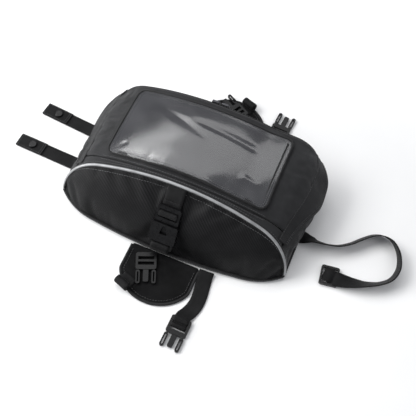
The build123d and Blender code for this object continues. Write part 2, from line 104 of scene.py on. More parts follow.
SHOULDER_LEN = SHOULDER_R * TANGENT
TOP_LEN = TOP_R * (math.pi - 2 * TANGENT)
ARCH_LEN = 2 * SHOULDER_LEN + TOP_LEN
SEAM_S = SHOULDER_R * SEAM


def arch(s, off=0.0):
    """Points (x, z) of the arch at a distance s along it from its right foot, moved outwards by off."""
    s = np.asarray(s, float)
    right = s / SHOULDER_R
    top = TANGENT + (s - SHOULDER_LEN) / TOP_R
    left = math.pi - (ARCH_LEN - s) / SHOULDER_R
    angle = np.where(s < SHOULDER_LEN, right, np.where(s < SHOULDER_LEN + TOP_LEN, top, left))
    on_top = (s >= SHOULDER_LEN) & (s < SHOULDER_LEN + TOP_LEN)
    radius = np.where(on_top, TOP_R, SHOULDER_R) + off
    cx = np.where(on_top, 0.0, np.where(s < SHOULDER_LEN, SHOULDER_X, -SHOULDER_X))
    cz = np.where(on_top, TOP_CENTRE_Z, SPRING_Z)
    return cx + radius * np.cos(angle), cz + radius * np.sin(angle)


def lean_y(z):
    """Where the leaning front arch stands at a height."""
    return TIP_Y + (z - SPRING_Z) * LEAN_RUN


def smooth(low, high, x):
    """0 below low, 1 above high, and a smooth step between."""
    t = np.clip((np.asarray(x, float) - low) / (high - low), 0, 1)
    return t * t * (3 - 2 * t)


def waves(x, y, seed, length=60.0, count=7):
    """A smooth random ripple between about -1 and 1, the same on every run."""
    rng = np.random.default_rng(seed)
    total = np.zeros(np.broadcast(x, y).shape)
    for _ in range(count):
        turn, phase = rng.uniform(0, 2 * math.pi, 2)
        k = 2 * math.pi / (length * rng.uniform(0.6, 1.6))
        total = total + np.sin(k * (x * math.cos(turn) + y * math.sin(turn)) + phase)
    return total / math.sqrt(count) / 1.2


def half_length_at(z):
    """Half the length of the arch at a height."""
    z = np.minimum(np.asarray(z, float), TOP_Z)
    shoulder = SHOULDER_X + np.sqrt(np.maximum(SHOULDER_R**2 - (z - SPRING_Z) ** 2, 0))
    top = np.sqrt(np.maximum(TOP_R**2 - (z - TOP_CENTRE_Z) ** 2, 0))
    tangent_z = SPRING_Z + SHOULDER_R * math.sin(TANGENT)
    return np.where(z < SPRING_Z, HALF_LENGTH, np.where(z < tangent_z, shoulder, top))


def crown(x, y):
    """How far the lid's stuffing lifts it above the plain arch."""
    t = (y - 0.5 * (BACK_Y + HINGE_Y)) / (0.5 * (BACK_Y - HINGE_Y))
    return CROWN * np.clip(1 - np.abs(t) ** 2.4, 0, 1) * (1 - smooth(88, 140, np.abs(x)))


def swell(x, y, z):
    """How far each shoulder of the full bag stands out beyond the plain arch; the right one is fuller."""
    dx, dz = np.abs(x) - SHOULDER_X, z - SPRING_Z
    angle, reach = np.degrees(np.arctan2(dz, np.maximum(dx, 1e-6))), np.hypot(dx, dz)
    angle = np.where(dx > 0, angle, 180 - np.degrees(np.arctan2(dz, np.maximum(-dx, 1e-6))))
    over = smooth(-2, 30, angle) * (1 - smooth(52, 108, angle)) * smooth(36, SHOULDER_R, reach)
    along = smooth(TIP_Y + 14, 40, y) * (1 - 0.15 * smooth(62, BACK_Y, y))
    return np.where(x > 0, SWELL_RIGHT, SWELL_LEFT) * over * along * (dz > 0)


def soften(points):
    """Rounds the upright corners at the back, swells the shoulders and crowns the lid."""
    p = np.array(points, float)
    x, y, z = p[..., 0], p[..., 1], p[..., 2]
    half = half_length_at(z)
    over = np.maximum(np.abs(x) - half, 0)
    u = np.clip((np.minimum(np.abs(x), half) - half + CORNER_R) / CORNER_R, 0, 1)
    v = np.clip((np.minimum(y, BACK_Y) - BACK_Y + CORNER_R) / CORNER_R, 0, 1)
    weight = (1 - smooth(26, 84, z)) * (u > 0) * (v > 0)
    du = u * np.sqrt(1 - v**2 / 2) - u
    dv = v * np.sqrt(1 - u**2 / 2) - v
    p[..., 0] = x + np.sign(x) * (CORNER_R * du - over * (1 - np.sqrt(1 - v**2 / 2))) * weight
    p[..., 1] = y + CORNER_R * dv * weight
    p[..., 2] = z + crown(x, y) * smooth(60, 70, z) * (y > HINGE_Y)
    out = swell(x, y, z)
    dx, dz = x - np.sign(x) * SHOULDER_X, z - SPRING_Z
    reach = np.maximum(np.hypot(dx, dz), 1.0)
    p[..., 0] += out * dx / reach
    p[..., 2] += out * dz / reach
    return p


def plain_z(x):
    """Height of the plain arch."""
    ax = np.minimum(np.abs(x), HALF_LENGTH - 1)
    top = TOP_CENTRE_Z + np.sqrt(TOP_R**2 - ax**2)
    shoulder = SPRING_Z + np.sqrt(np.maximum(SHOULDER_R**2 - (ax - SHOULDER_X) ** 2, 0))
    return np.where(ax < TOP_R * math.cos(TANGENT), top, shoulder)


def lid_z(x, y):
    """Height of the crowned lid over a point of the plan."""
    x, y = np.broadcast_arrays(np.asarray(x, float), np.asarray(y, float))
    x0, y0 = x.copy(), y.copy()
    for _ in range(6):
        p = soften(np.stack([x0, y0, plain_z(x0)], -1))
        x0, y0 = x0 + x - p[..., 0], y0 + y - p[..., 1]
    return p[..., 2]


def front_edge_y(x):
    """The front edge of the plan."""
    ax = np.abs(np.asarray(x, float))
    turn = math.asin(FRONT_HALF / FRONT_R)
    edge = -FRONT_R * math.cos(turn) + FRONT_R - BACK_Y
    run, rise = HALF_LENGTH - FRONT_HALF, TIP_Y - edge
    chord = math.atan2(rise, run)
    radius = math.hypot(run, rise) / (2 * math.sin(chord - turn))
    cx, cy = FRONT_HALF - radius * math.sin(turn), edge + radius * math.cos(turn)
    middle = FRONT_R - BACK_Y - np.sqrt(FRONT_R**2 - np.minimum(ax, FRONT_HALF) ** 2)
    tip = cy - np.sqrt(np.maximum(radius**2 - (ax - cx) ** 2, 0))
    return np.where(ax < FRONT_HALF, middle, tip)


# ---------------------------------------------------------------- mesh building
def make_object(name, verts, faces, uvs):
    """An object from millimetre vertices, faces, and one (u, v) in millimetres for each face corner."""
    mesh = bpy.data.meshes.new(name)
    mesh.from_pydata((np.asarray(verts) * MM).tolist(), [], faces)
    layer = mesh.uv_layers.new(name="weave")
    layer.data.foreach_set("uv", np.asarray(uvs, np.float32).ravel())
    mesh.polygons.foreach_set("use_smooth", [True] * len(mesh.polygons))
    mesh.validate()
    shell_faces = bmesh.new()
    shell_faces.from_mesh(mesh)
    bmesh.ops.recalc_face_normals(shell_faces, faces=shell_faces.faces)
    shell_faces.to_mesh(mesh)
    shell_faces.free()
    obj = bpy.data.objects.new(name, mesh)
    bpy.context.scene.collection.objects.link(obj)
    return obj


def grid_faces(n, m, closed_n=False, closed_m=False, flip=False, start=0):
    """Quads over an n by m grid of vertices, and each corner's (row, column) before it wraps."""
    rows, columns = np.arange(n if closed_n else n - 1), np.arange(m if closed_m else m - 1)
    i, j = np.meshgrid(rows, columns, indexing="ij")
    i, j = i.ravel(), j.ravel()
    corners = [(i, j), (i + 1, j), (i + 1, j + 1), (i, j + 1)]
    if flip:
        corners.reverse()
    faces = np.stack([start + (a % n) * m + (b % m) for a, b in corners], 1)
    rc = np.stack([np.stack(c, 1) for c in corners], 1)
    return faces, rc


def normals_of(p):
    """Unit normals of a grid of points."""
    du, dv = np.gradient(p, axis=0), np.gradient(p, axis=1)
    n = np.cross(du, dv)
    size = np.linalg.norm(n, axis=2, keepdims=True)
    n = n / np.maximum(size, 1e-9)
    bad = size[..., 0] < 1e-6
    if bad.any():
        n[bad] = Z
    return n


def outward(p, centre):
    """The grid turned over if need be, so that its normals point away from a centre."""
    n = normals_of(p)
    away = ((p - np.asarray(centre)) * n).sum(2).mean()
    return p if away > 0 else p[::-1]


def distances(points):
    """How far along its line each point lies."""
    return np.concatenate([[0], np.cumsum(np.linalg.norm(np.diff(points, axis=0), axis=1))])


def thick_grid(name, p, thickness=SKIN_T):
    """A sheet with its outer face on a grid of points and the given thickness behind it."""
    n, m = p.shape[:2]
    back = p - normals_of(p) * thickness
    u, v = distances(p[:, m // 2]), distances(p[n // 2])
    front_faces, rc1 = grid_faces(n, m)
    back_faces, rc2 = grid_faces(n, m, flip=True, start=n * m)
    faces, uvs = [front_faces, back_faces], []
    for rc in (rc1, rc2):
        uvs.append(np.stack([u[rc[..., 0]], v[rc[..., 1]]], 2))
    ring = [(i, 0) for i in range(n)] + [(n - 1, j) for j in range(1, m)]
    ring += [(i, m - 1) for i in range(n - 2, -1, -1)] + [(0, j) for j in range(m - 2, 0, -1)]
    ids = np.array([i * m + j for i, j in ring])
    nxt = np.roll(ids, -1)
    faces.append(np.stack([nxt, ids, ids + n * m, nxt + n * m], 1))
    along = np.arange(len(ids)) * 3.0
    edge_uvs = [np.stack([along + a, along * 0 + b], 1) for a, b in ((3, 0), (0, 0), (0, 1.5), (3, 1.5))]
    uvs.append(np.stack(edge_uvs, 1))
    verts = np.concatenate([p.reshape(-1, 3), back.reshape(-1, 3)])
    return make_object(name, verts, np.concatenate(faces).tolist(), np.concatenate(uvs))


def unit(v):
    """Vectors scaled to length one."""
    return v / np.maximum(np.linalg.norm(v, axis=-1, keepdims=True), 1e-9)


def square_to(v, t):
    """The part of each v at right angles to its t, scaled to length one."""
    return unit(v - t * (v * t).sum(1, keepdims=True))


def resample(points, step):
    """A smooth path through a few points, cut into even steps (Catmull-Rom)."""
    p = np.asarray(points, float)
    ext = np.concatenate([2 * p[:1] - p[1:2], p, 2 * p[-1:] - p[-2:-1]])
    t = np.linspace(0, 1, 24, endpoint=False)[:, None]
    out = []
    for k in range(len(p) - 1):
        a, b, c, d = ext[k:k + 4]
        square, cube = 2 * a - 5 * b + 4 * c - d, 3 * b - a - 3 * c + d
        out.append(0.5 * (2 * b + (c - a) * t + square * t**2 + cube * t**3))
    return evenly(np.concatenate(out + [p[-1:]]), step)


def evenly(points, step, closed=False):
    """The same line with its points at even distances."""
    p = np.asarray(points, float)
    if closed:
        p = np.concatenate([p, p[:1]])
    d = distances(p)
    count = max(2, int(round(d[-1] / step)) + 1)
    s = np.linspace(0, d[-1], count)
    q = np.stack([np.interp(s, d, p[:, k]) for k in range(p.shape[1])], 1)
    return q[:-1] if closed else q


def tangents_of(p, closed=False):
    """Unit directions along a path."""
    if closed:
        return unit(np.roll(p, -1, 0) - np.roll(p, 1, 0))
    return unit(np.gradient(p, axis=0))


def sweep(name, path, side, section, closed=False):
    """A section of (sideways, up) points run along a path; side is sideways at each point."""
    t = tangents_of(path, closed)
    side = square_to(side, t)
    up = np.cross(t, side)
    section = np.asarray(section, float)
    p = path[:, None] + side[:, None] * section[None, :, :1] + up[:, None] * section[None, :, 1:]
    n, m = p.shape[:2]
    faces, rc = grid_faces(n, m, closed_n=closed, closed_m=True)
    s = distances(path)
    s = np.append(s, s[-1] + np.linalg.norm(path[0] - path[-1]))
    w = distances(np.concatenate([section, section[:1]]))
    uvs = np.stack([w[rc[..., 1]], s[rc[..., 0]]], 2).reshape(-1, 2).tolist()
    faces = faces.tolist()
    if not closed:
        for ids in (list(range(m)), list(range((n - 1) * m, n * m))[::-1]):
            faces.append(ids)
            uvs += [[w[k % m] * 0.3, 0.0] for k in range(m)]
    return make_object(name, p.reshape(-1, 3), faces, uvs)


def band_section(width, thickness):
    """A flat strap's section with rounded edges, its middle at the origin."""
    r = thickness / 2
    xs = np.linspace(-width / 2 + r, width / 2 - r, 9)
    return [(-width / 2, 0), *((x, r) for x in xs), (width / 2, 0), *((x, -r) for x in xs[::-1])]


def round_section(radius, count=10, squash=1.0):
    """A circle, or an oval with the given share of its height."""
    a = np.linspace(0, 2 * math.pi, count, endpoint=False)
    return np.stack([radius * np.cos(a), radius * squash * np.sin(a)], 1)


def strap(name, points, side, width=WEB_WIDTH, thickness=1.5, step=3.0):
    """Webbing along a path; side is one direction across it, or one for each given point."""
    points = np.asarray(points, float)
    path = resample(points, step)
    side = np.asarray(side, float)
    if side.ndim == 2:
        d = distances(points)
        s = np.linspace(0, d[-1], len(path))
        side = unit(np.stack([np.interp(s, d, side[:, k]) for k in range(3)], 1))
    else:
        side = np.repeat(side[None], len(path), 0)
    obj = sweep(name, path, side, band_section(width, thickness))
    length = float(np.linalg.norm(np.diff(path, axis=0), axis=1).sum())
    obj["flat_mm"] = [width, length]
    return obj


STITCH_LIFT = 0.05


def stitches(path, normal, pitch=3.6, length=2.7, radius=0.33, closed=False):
    """Vertices, faces and corner uvs of a row of sewn stitches on a surface."""
    p = evenly(path, pitch, closed)
    if np.ndim(normal) == 2:
        last = len(normal) - 1
        k = (np.arange(len(p)) / max(len(p) - 1, 1) * last).round().astype(int)
        up = np.asarray(normal)[np.clip(k, 0, last)]
    else:
        up = np.repeat(np.asarray(normal, float)[None], len(p), 0)
    t = tangents_of(p, closed)
    up = square_to(up, t)
    side = np.cross(t, up)
    ring = np.linspace(0, 2 * math.pi, 6, endpoint=False)
    verts, faces, uvs = [], [], []
    stations = [(-0.5, 0.35, -0.35), (-0.3, 1.0, 0.1), (0.0, 1.05, 0.2), (0.3, 1.0, 0.1), (0.5, 0.35, -0.35)]
    for q, tt, uu, ss in zip(p, t, up, side):
        first = len(verts)
        for along, share, rise in stations:
            centre = q + tt * along * length + uu * (STITCH_LIFT + rise * radius)
            for a in ring:
                verts.append(centre + (ss * math.cos(a) + uu * math.sin(a)) * radius * share)
        body, rc = grid_faces(5, 6, closed_m=True, flip=True, start=first)
        faces += body.tolist()
        uvs += (np.stack([rc[..., 1] * 0.4, rc[..., 0] * 0.7], 2)).reshape(-1, 2).tolist()
        faces += [list(range(first, first + 6)), list(range(first + 24, first + 30))[::-1]]
        uvs += [[k * 0.4, 0.0] for k in range(6)] * 2
    return verts, faces, uvs


def joined(name, groups):
    """One object from several lots of vertices, faces and uvs."""
    verts, faces, uvs = [], [], []
    for v, f, u in groups:
        start = len(verts)
        verts += list(v)
        faces += [[i + start for i in face] for face in f]
        uvs += list(u)
    return make_object(name, verts, faces, uvs)


def drape(p, pinned, pressure, cap, slack, frames=20):
    """Blows a grid of cloth outwards, its pinned points held and each point moved by at most cap.
"""
    n, m = p.shape[:2]
    faces, _ = grid_faces(n, m)
    mesh = bpy.data.meshes.new("cloth")
    mesh.from_pydata((p.reshape(-1, 3) * MM).tolist(), [], faces.tolist())
    obj = bpy.data.objects.new("cloth", mesh)
    scene = bpy.context.scene
    scene.collection.objects.link(obj)
    group = obj.vertex_groups.new(name="seams")
    group.add(np.flatnonzero(pinned.ravel()).tolist(), 1.0, "REPLACE")
    modifier = obj.modifiers.new("cloth", "CLOTH")
    for key, value in {
            "quality": 6, "mass": 0.2, "tension_stiffness": 20, "compression_stiffness": 20,
            "shear_stiffness": 8, "bending_stiffness": 1.5, "use_pressure": True,
            "uniform_pressure_force": pressure, "shrink_min": -slack, "vertex_group_mass": "seams"}.items():
        setattr(modifier.settings, key, value)
    modifier.settings.effector_weights.gravity = 0
    modifier.collision_settings.use_collision = False
    modifier.point_cache.frame_start, modifier.point_cache.frame_end = 1, frames
    for number in range(1, frames + 1):
        scene.frame_set(number)
    shaped = obj.evaluated_get(bpy.context.evaluated_depsgraph_get())
    co = np.zeros(n * m * 3)
    shaped.data.vertices.foreach_get("co", co)
    move = co.reshape(n, m, 3) / MM - p
    size = np.linalg.norm(move, axis=2, keepdims=True)
    move = move * np.where(size > 1e-6, cap * np.tanh(size / cap) / np.maximum(size, 1e-6), 0)
    scene.frame_set(1)
    bpy.data.objects.remove(obj)
    bpy.data.meshes.remove(mesh)
    return p + move


# ---------------------------------------------------------------- materials
class Shader:
    """A procedural material built from short node expressions; lengths are in millimetres."""

    def __init__(self, name, colour, roughness, **uniform):
        self.material = bpy.data.materials.new(name)
        self.material.use_nodes = True
        self.tree = self.material.node_tree
        self.surface = self.tree.nodes["Principled BSDF"]
        self.surface.inputs["Base Color"].default_value = (*colour, 1)
        self.surface.inputs["Roughness"].default_value = roughness
        for key, value in uniform.items():
            self.surface.inputs[key.replace("_", " ").title().replace("Ior", "IOR")].default_value = value

    def node(self, kind, inputs=(), **settings):
        made = self.tree.nodes.new(kind)
        for key, value in settings.items():
            setattr(made, key, value)
        for key, value in dict(inputs).items():
            self.put(made.inputs[key], value)
        return made

    def put(self, socket, value):
        if isinstance(value, bpy.types.NodeSocket):
            self.tree.links.new(value, socket)
        else:
            socket.default_value = value

    def math(self, operation, *values):
        made = self.node("ShaderNodeMath", operation=operation)
        for k, value in enumerate(values):
            self.put(made.inputs[k], value)
        return made.outputs[0]

    def weave_uv(self):
        uv = self.node("ShaderNodeUVMap", uv_map="weave")
        parts = self.node("ShaderNodeSeparateXYZ", {"Vector": uv.outputs["UV"]})
        return parts.outputs["X"], parts.outputs["Y"]

    def place(self):
        coordinates = self.node("ShaderNodeTexCoord")
        scaled = self.node("ShaderNodeVectorMath", operation="SCALE")
        self.put(scaled.inputs[0], coordinates.outputs["Object"])
        scaled.inputs["Scale"].default_value = 1 / MM
        return scaled.outputs[0]

    def noise(self, size, detail):
        """Noise between 0 and 1 with features of about the given size in millimetres."""
        made = self.node("ShaderNodeTexNoise", {
            "Vector": self.place(), "Scale": 1 / size, "Detail": detail, "Roughness": 0.55})
        return made.outputs["Fac"]

    def remap(self, value, low, high, to_low, to_high):
        made = self.node("ShaderNodeMapRange", {
            "Value": value, "From Min": low, "From Max": high, "To Min": to_low, "To Max": to_high})
        return made.outputs["Result"]

    def patches(self, size, detail, *spans):
        """Noise of a size, remapped."""
        return self.remap(self.noise(size, detail), *spans)

    def mix(self, factor, a, b):
        made = self.node("ShaderNodeMix", data_type="RGBA")
        self.put(made.inputs["Factor"], factor)
        for key, value in (("A", a), ("B", b)):
            socket = [s for s in made.inputs if s.name == key and s.type == "RGBA"][0]
            self.put(socket, (*value, 1) if isinstance(value, tuple) else value)
        return [s for s in made.outputs if s.type == "RGBA"][0]

    def wave(self, value, pitch):
        """A ripple from 0 to 1 along a coordinate."""
        turned = self.math("SINE", self.math("MULTIPLY", value, 2 * math.pi / pitch))
        return self.math("MULTIPLY_ADD", turned, 0.5, 0.5)

    def colour(self, value):
        self.put(self.surface.inputs["Base Color"], value)

    def rough(self, value):
        self.put(self.surface.inputs["Roughness"], value)

    def bump(self, height, depth, strength=1.0):
        """Relief from a height between 0 and 1, depth in millimetres."""
        before = self.surface.inputs["Normal"].links
        inputs = {"Height": height, "Distance": depth * MM, "Strength": strength}
        if before:
            inputs["Normal"] = before[0].from_socket
        made = self.node("ShaderNodeBump", inputs)
        self.tree.links.new(made.outputs["Normal"], self.surface.inputs["Normal"])


def plain_weave(shader, pitch):
    """Height of a plain over-and-under weave."""
    u, v = shader.weave_uv()
    a, b = shader.wave(u, pitch), shader.wave(v, pitch)
    over = shader.math("MULTIPLY", a, b)
    under = shader.math("MULTIPLY", shader.math("SUBTRACT", 1.0, a), shader.math("SUBTRACT", 1.0, b))
    return shader.math("ADD", over, under)


def nylon(name, colour, pitch=0.9, sheen=0.12, roughness=0.62, specular=0.22):
    """Coated bag nylon with a fine plain weave, slight fading and dust."""
    s = Shader(name, colour, roughness, sheen_weight=sheen, sheen_roughness=0.5, specular_ior_level=specular)
    weave = plain_weave(s, pitch)
    bright = tuple(1.7 * c + 0.004 for c in colour)
    worn = s.mix(s.patches(38, 4, 0.35, 0.7, 0.0, 1.0), colour, bright)
    s.colour(s.mix(s.math("MULTIPLY", weave, 0.55), worn, tuple(0.45 * c for c in colour)))
    s.rough(s.patches(9, 3, 0.3, 0.7, roughness - 0.07, roughness + 0.12))
    s.bump(weave, 0.10)
    s.bump(s.noise(14, 4), 0.5, 0.5)
    return s.material


def carbon(name):
    """Coated cloth printed and embossed as a two-by-two carbon twill."""
    s = Shader(name, (0.03, 0.03, 0.032), 0.38, specular_ior_level=0.12)
    u, v = s.weave_uv()
    tow = 1.25
    row, column = s.math("DIVIDE", u, tow), s.math("DIVIDE", v, tow)
    step = s.math("ADD", s.math("FLOOR", row), s.math("FLOOR", column))
    over = s.math("LESS_THAN", s.math("FLOORED_MODULO", step, 4.0), 1.5)
    across_u = s.math("PINGPONG", row, 0.5)
    across_v = s.math("PINGPONG", column, 0.5)
    dome_u = s.math("SINE", s.math("MULTIPLY", across_u, math.pi))
    dome_v = s.math("SINE", s.math("MULTIPLY", across_v, math.pi))
    height = s.node("ShaderNodeMix", data_type="FLOAT")
    s.put(height.inputs["Factor"], over)
    s.put(height.inputs["A"], dome_v)
    s.put(height.inputs["B"], dome_u)
    height = height.outputs["Result"]
    strands = s.math("MULTIPLY", s.wave(u, 0.35), s.wave(v, 0.35))
    faded = s.patches(30, 4, 0.3, 0.7, 0, 1)
    light = s.mix(faded, (0.007, 0.007, 0.0075), (0.018, 0.018, 0.019))
    dark = s.mix(faded, (0.0024, 0.0024, 0.0026), (0.005, 0.005, 0.0053))
    s.colour(s.mix(s.math("MULTIPLY", over, s.math("MULTIPLY_ADD", height, 0.6, 0.4)), dark, light))
    s.rough(s.remap(height, 0.0, 1.0, 0.55, 0.33))
    s.bump(height, 0.14)
    s.bump(strands, 0.03)
    return s.material


def webbing(name, colour=(0.0034, 0.0034, 0.0037)):
    """Woven nylon webbing: ribs along it, crossed by fine picks, with plain selvedges, and painted shade in
    the weave's low points.
    """
    s = Shader(name, colour, 0.55, sheen_weight=0.05, sheen_roughness=0.4, specular_ior_level=0.16)
    u, v = s.weave_uv()
    zigzag = s.math("PINGPONG", u, 2.5)
    picks = s.wave(s.math("ADD", v, s.math("MULTIPLY", zigzag, 0.8)), 1.5)
    ribs = s.wave(u, 1.25)
    height = s.math("MULTIPLY_ADD", picks, 0.6, s.math("MULTIPLY", ribs, 0.4))
    pale = tuple(2.4 * c + 0.006 for c in colour)
    base = s.mix(s.patches(24, 4, 0.4, 0.75, 0, 0.8), colour, pale)
    # Painted shade: the weave's low points between picks and ribs are darkened.
    painted_gap_shade = s.math("MULTIPLY", s.math("SUBTRACT", 1.0, height), 0.7)
    s.colour(s.mix(painted_gap_shade, base, tuple(0.35 * c for c in colour)))
    s.rough(s.remap(height, 0, 1, 0.72, 0.46))
    s.bump(height, 0.28)
    return s.material


def reflective(name):
    """Silver glass-bead tape over a piping cord."""
    s = Shader(name, (0.30, 0.305, 0.31), 0.42, metallic=0.35, sheen_weight=0.15)
    beads = s.noise(0.45, 2)
    s.colour(s.mix(s.patches(16, 4, 0.35, 0.75, 0, 1), (0.36, 0.365, 0.37), (0.20, 0.203, 0.207)))
    s.rough(s.remap(beads, 0.3, 0.7, 0.32, 0.5))
    s.bump(beads, 0.06)
    return s.material


def film(name):
    """Clear soft vinyl, faintly clouded."""
    s = Shader(name, (0.05, 0.05, 0.054), 0.2, alpha=0.72, ior=1.9)
    cloud = s.noise(45, 4)
    s.colour(s.mix(s.remap(cloud, 0.3, 0.7, 0, 1), (0.030, 0.0305, 0.034), (0.055, 0.0555, 0.060)))
    s.rough(s.remap(cloud, 0.3, 0.75, 0.17, 0.25))
    return s.material


def plastic(name, colour=(0.0030, 0.0030, 0.0033), roughness=0.27):
    """Moulded acetal with a fine spark-eroded grain and rubbed, lighter patches."""
    s = Shader(name, colour, roughness, specular_ior_level=0.24)
    rub = s.noise(7, 4)
    s.colour(s.mix(s.remap(rub, 0.45, 0.8, 0, 0.7), colour, tuple(2.0 * c + 0.002 for c in colour)))
    s.rough(s.remap(rub, 0.3, 0.75, roughness - 0.06, roughness + 0.14))
    s.bump(s.noise(0.5, 2), 0.05)
    return s.material


def metal(name, colour, roughness):
    """Painted or plated die-cast metal."""
    s = Shader(name, colour, roughness, metallic=0.85, coat_weight=0.15)
    s.rough(s.patches(2.2, 4, 0.3, 0.7, roughness - 0.08, roughness + 0.12))
    s.bump(s.noise(0.9, 3), 0.03)
    return s.material


def rubber(name):
    """Anti-slip rubber cloth with small round pimples."""
    s = Shader(name, (0.016, 0.016, 0.017), 0.8)
    dots = s.node("ShaderNodeTexVoronoi", {"Vector": s.place(), "Scale": 0.33, "Randomness": 0.0})
    height = s.remap(dots.outputs["Distance"], 0.0, 0.45, 1.0, 0.0)
    s.rough(s.patches(12, 3, 0.3, 0.7, 0.7, 0.92))
    s.bump(height, 0.5)
    return s.material


def thread(name, colour):
    """Twisted polyester thread."""
    s = Shader(name, colour, 0.5, sheen_weight=0.3)
    u, v = s.weave_uv()
    twist = s.wave(s.math("ADD", u, v), 0.8)
    s.colour(s.mix(twist, tuple(0.6 * c for c in colour), colour))
    s.bump(twist, 0.1)
    return s.material


M = {
    "nylon": nylon("nylon", (0.0072, 0.0073, 0.0080)),
    "lid": nylon("lid_nylon", (0.0084, 0.0086, 0.0095), sheen=0.15),
    # The saddle flaps get a much darker, less shiny copy of the bag nylon.
    "darker_flap_nylon": nylon("darker_flap_nylon_copy", (0.0020, 0.0020, 0.0022), sheen=0.02, specular=0.08),
    "lining": nylon("lining", (0.013, 0.013, 0.0145), pitch=0.6, roughness=0.7),
    "binding": nylon("binding_tape", (0.0058, 0.0058, 0.0062), pitch=1.3, sheen=0.1),
    "carbon": carbon("carbon_cloth"),
    "webbing": webbing("webbing"),
    "silver": reflective("reflective_piping"),
    "film": film("clear_film"),
    "plastic": plastic("buckle_plastic"),
    "teeth": plastic("zip_teeth", (0.010, 0.010, 0.011), 0.42),
    "slider": metal("zip_metal", (0.05, 0.05, 0.055), 0.36),
    "stud": metal("stud_paint", (0.006, 0.006, 0.0065), 0.3),
    "rubber": rubber("grip_rubber"),
    "board": plastic("base_board", (0.02, 0.02, 0.021), 0.6),
    "thread": thread("thread", (0.045, 0.046, 0.050)),
    "dark_thread": thread("dark_thread", (0.010, 0.010, 0.011)),
}


def place(obj, body, material, nodes=(), subdivide=0, bend=None):
    """Gives a piece its material and its body, and hides the CAD nodes it stands for; a piece given a bend is
    only baked into place, not attached to the bodies it would bend between.
    """
    obj.data.materials.clear()
    obj.data.materials.append(M[material])
    if subdivide:
        level = obj.modifiers.new("smooth", "SUBSURF")
        level.levels = level.render_levels = subdivide
    if nodes:
        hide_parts(*nodes)
    if bend:
        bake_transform(obj)
    else:
        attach(obj, body)
    return obj


def cloth(name, grid, body, material, node, thickness=SKIN_T, subdivide=1, bend=None):
    """A sheet of cloth over a grid of points, in the place of a CAD node."""
    return place(thick_grid(name, grid, thickness), body, material, [node], subdivide, bend)


def web(name, body, node, rests_on, held, *shape, bend=None):
    """A strap in the place of a CAD node, declared as a sheet of its flat size."""
    obj = place(strap(name, *shape), body, "webbing", [node], bend=bend)


# ---------------------------------------------------------------- the shell of the bag
def wall_grid(s_values, y_low, y_high, rows):
    """Points over part of the arch; y_low is a number or a function of height."""
    grid = []
    for s in s_values:
        x, z = arch(s)
        y = np.linspace(y_low(z) if callable(y_low) else y_low, y_high, rows)
        grid.append(np.stack([np.full(rows, x), y, np.full(rows, z)], 1))
    return np.array(grid)


CENTRE = (0.0, 10.0, 20.0)
END_BULGE = 2.4


def end_bulge(s, y):
    """How far an end of the bag swells outwards."""
    across = np.sin(np.pi * np.clip(s / SEAM_S, 0, 1))
    along = np.sin(np.pi * np.clip((y - TIP_Y - 6) / (BACK_Y - TIP_Y - 6), 0, 1)) ** 0.6
    return END_BULGE * across * along


def edge_ring(p):
    """Marks the outer ring of a grid."""
    mask = np.zeros(p.shape[:2], bool)
    mask[:1] = mask[-1:] = mask[:, :1] = mask[:, -1:] = True
    return mask


sewn = {}


def sew(body, path, normal, **shape):
    """Adds a row of stitches to the body's stitching."""
    sewn.setdefault(body, []).append(stitches(np.asarray(path, float), normal, **shape))


# Ends: a puffy panel on each side, from the base up to the shoulder seam.
for side, name in ((1, "right"), (-1, "left")):
    s = np.linspace(0.2, SEAM_S - 1.6, 17)
    p = wall_grid(s, lambda z: lean_y(z) + 1.4, BACK_Y, 48)
    p[..., 0] *= side
    p = outward(p, CENTRE)
    rows = np.repeat((s if np.allclose(p[0, 0, 2], p[..., 2].min()) else s[::-1])[:, None], p.shape[1], 1)
    p = p + normals_of(p) * end_bulge(rows, p[..., 1])[..., None]
    held = edge_ring(p) | (rows > 27)
    p = drape(soften(p), held, 5.0, 3.0, slack=0.035)
    cloth(f"{name}_end_cloth", p, "body", "nylon", f"{name}_end_panel")

# Storm flap over each shoulder seam: sewn along its top, with a hem that hangs in a soft curve.
FLAP_TOP, FLAP_BENT, FLAP_ROWS = 47, 35, 12
FLAP_TOP_S = SHOULDER_R * math.radians(FLAP_TOP)
FLAP_BEND = {}


def shoulder_point(side, angle):
    """A point on a swollen shoulder, in metres."""
    radius, a = SHOULDER_R + (SWELL_RIGHT if side > 0 else SWELL_LEFT), math.radians(angle)
    return (side * (SHOULDER_X + radius * math.cos(a)) * MM, 0.0, (SPRING_Z + radius * math.sin(a)) * MM)


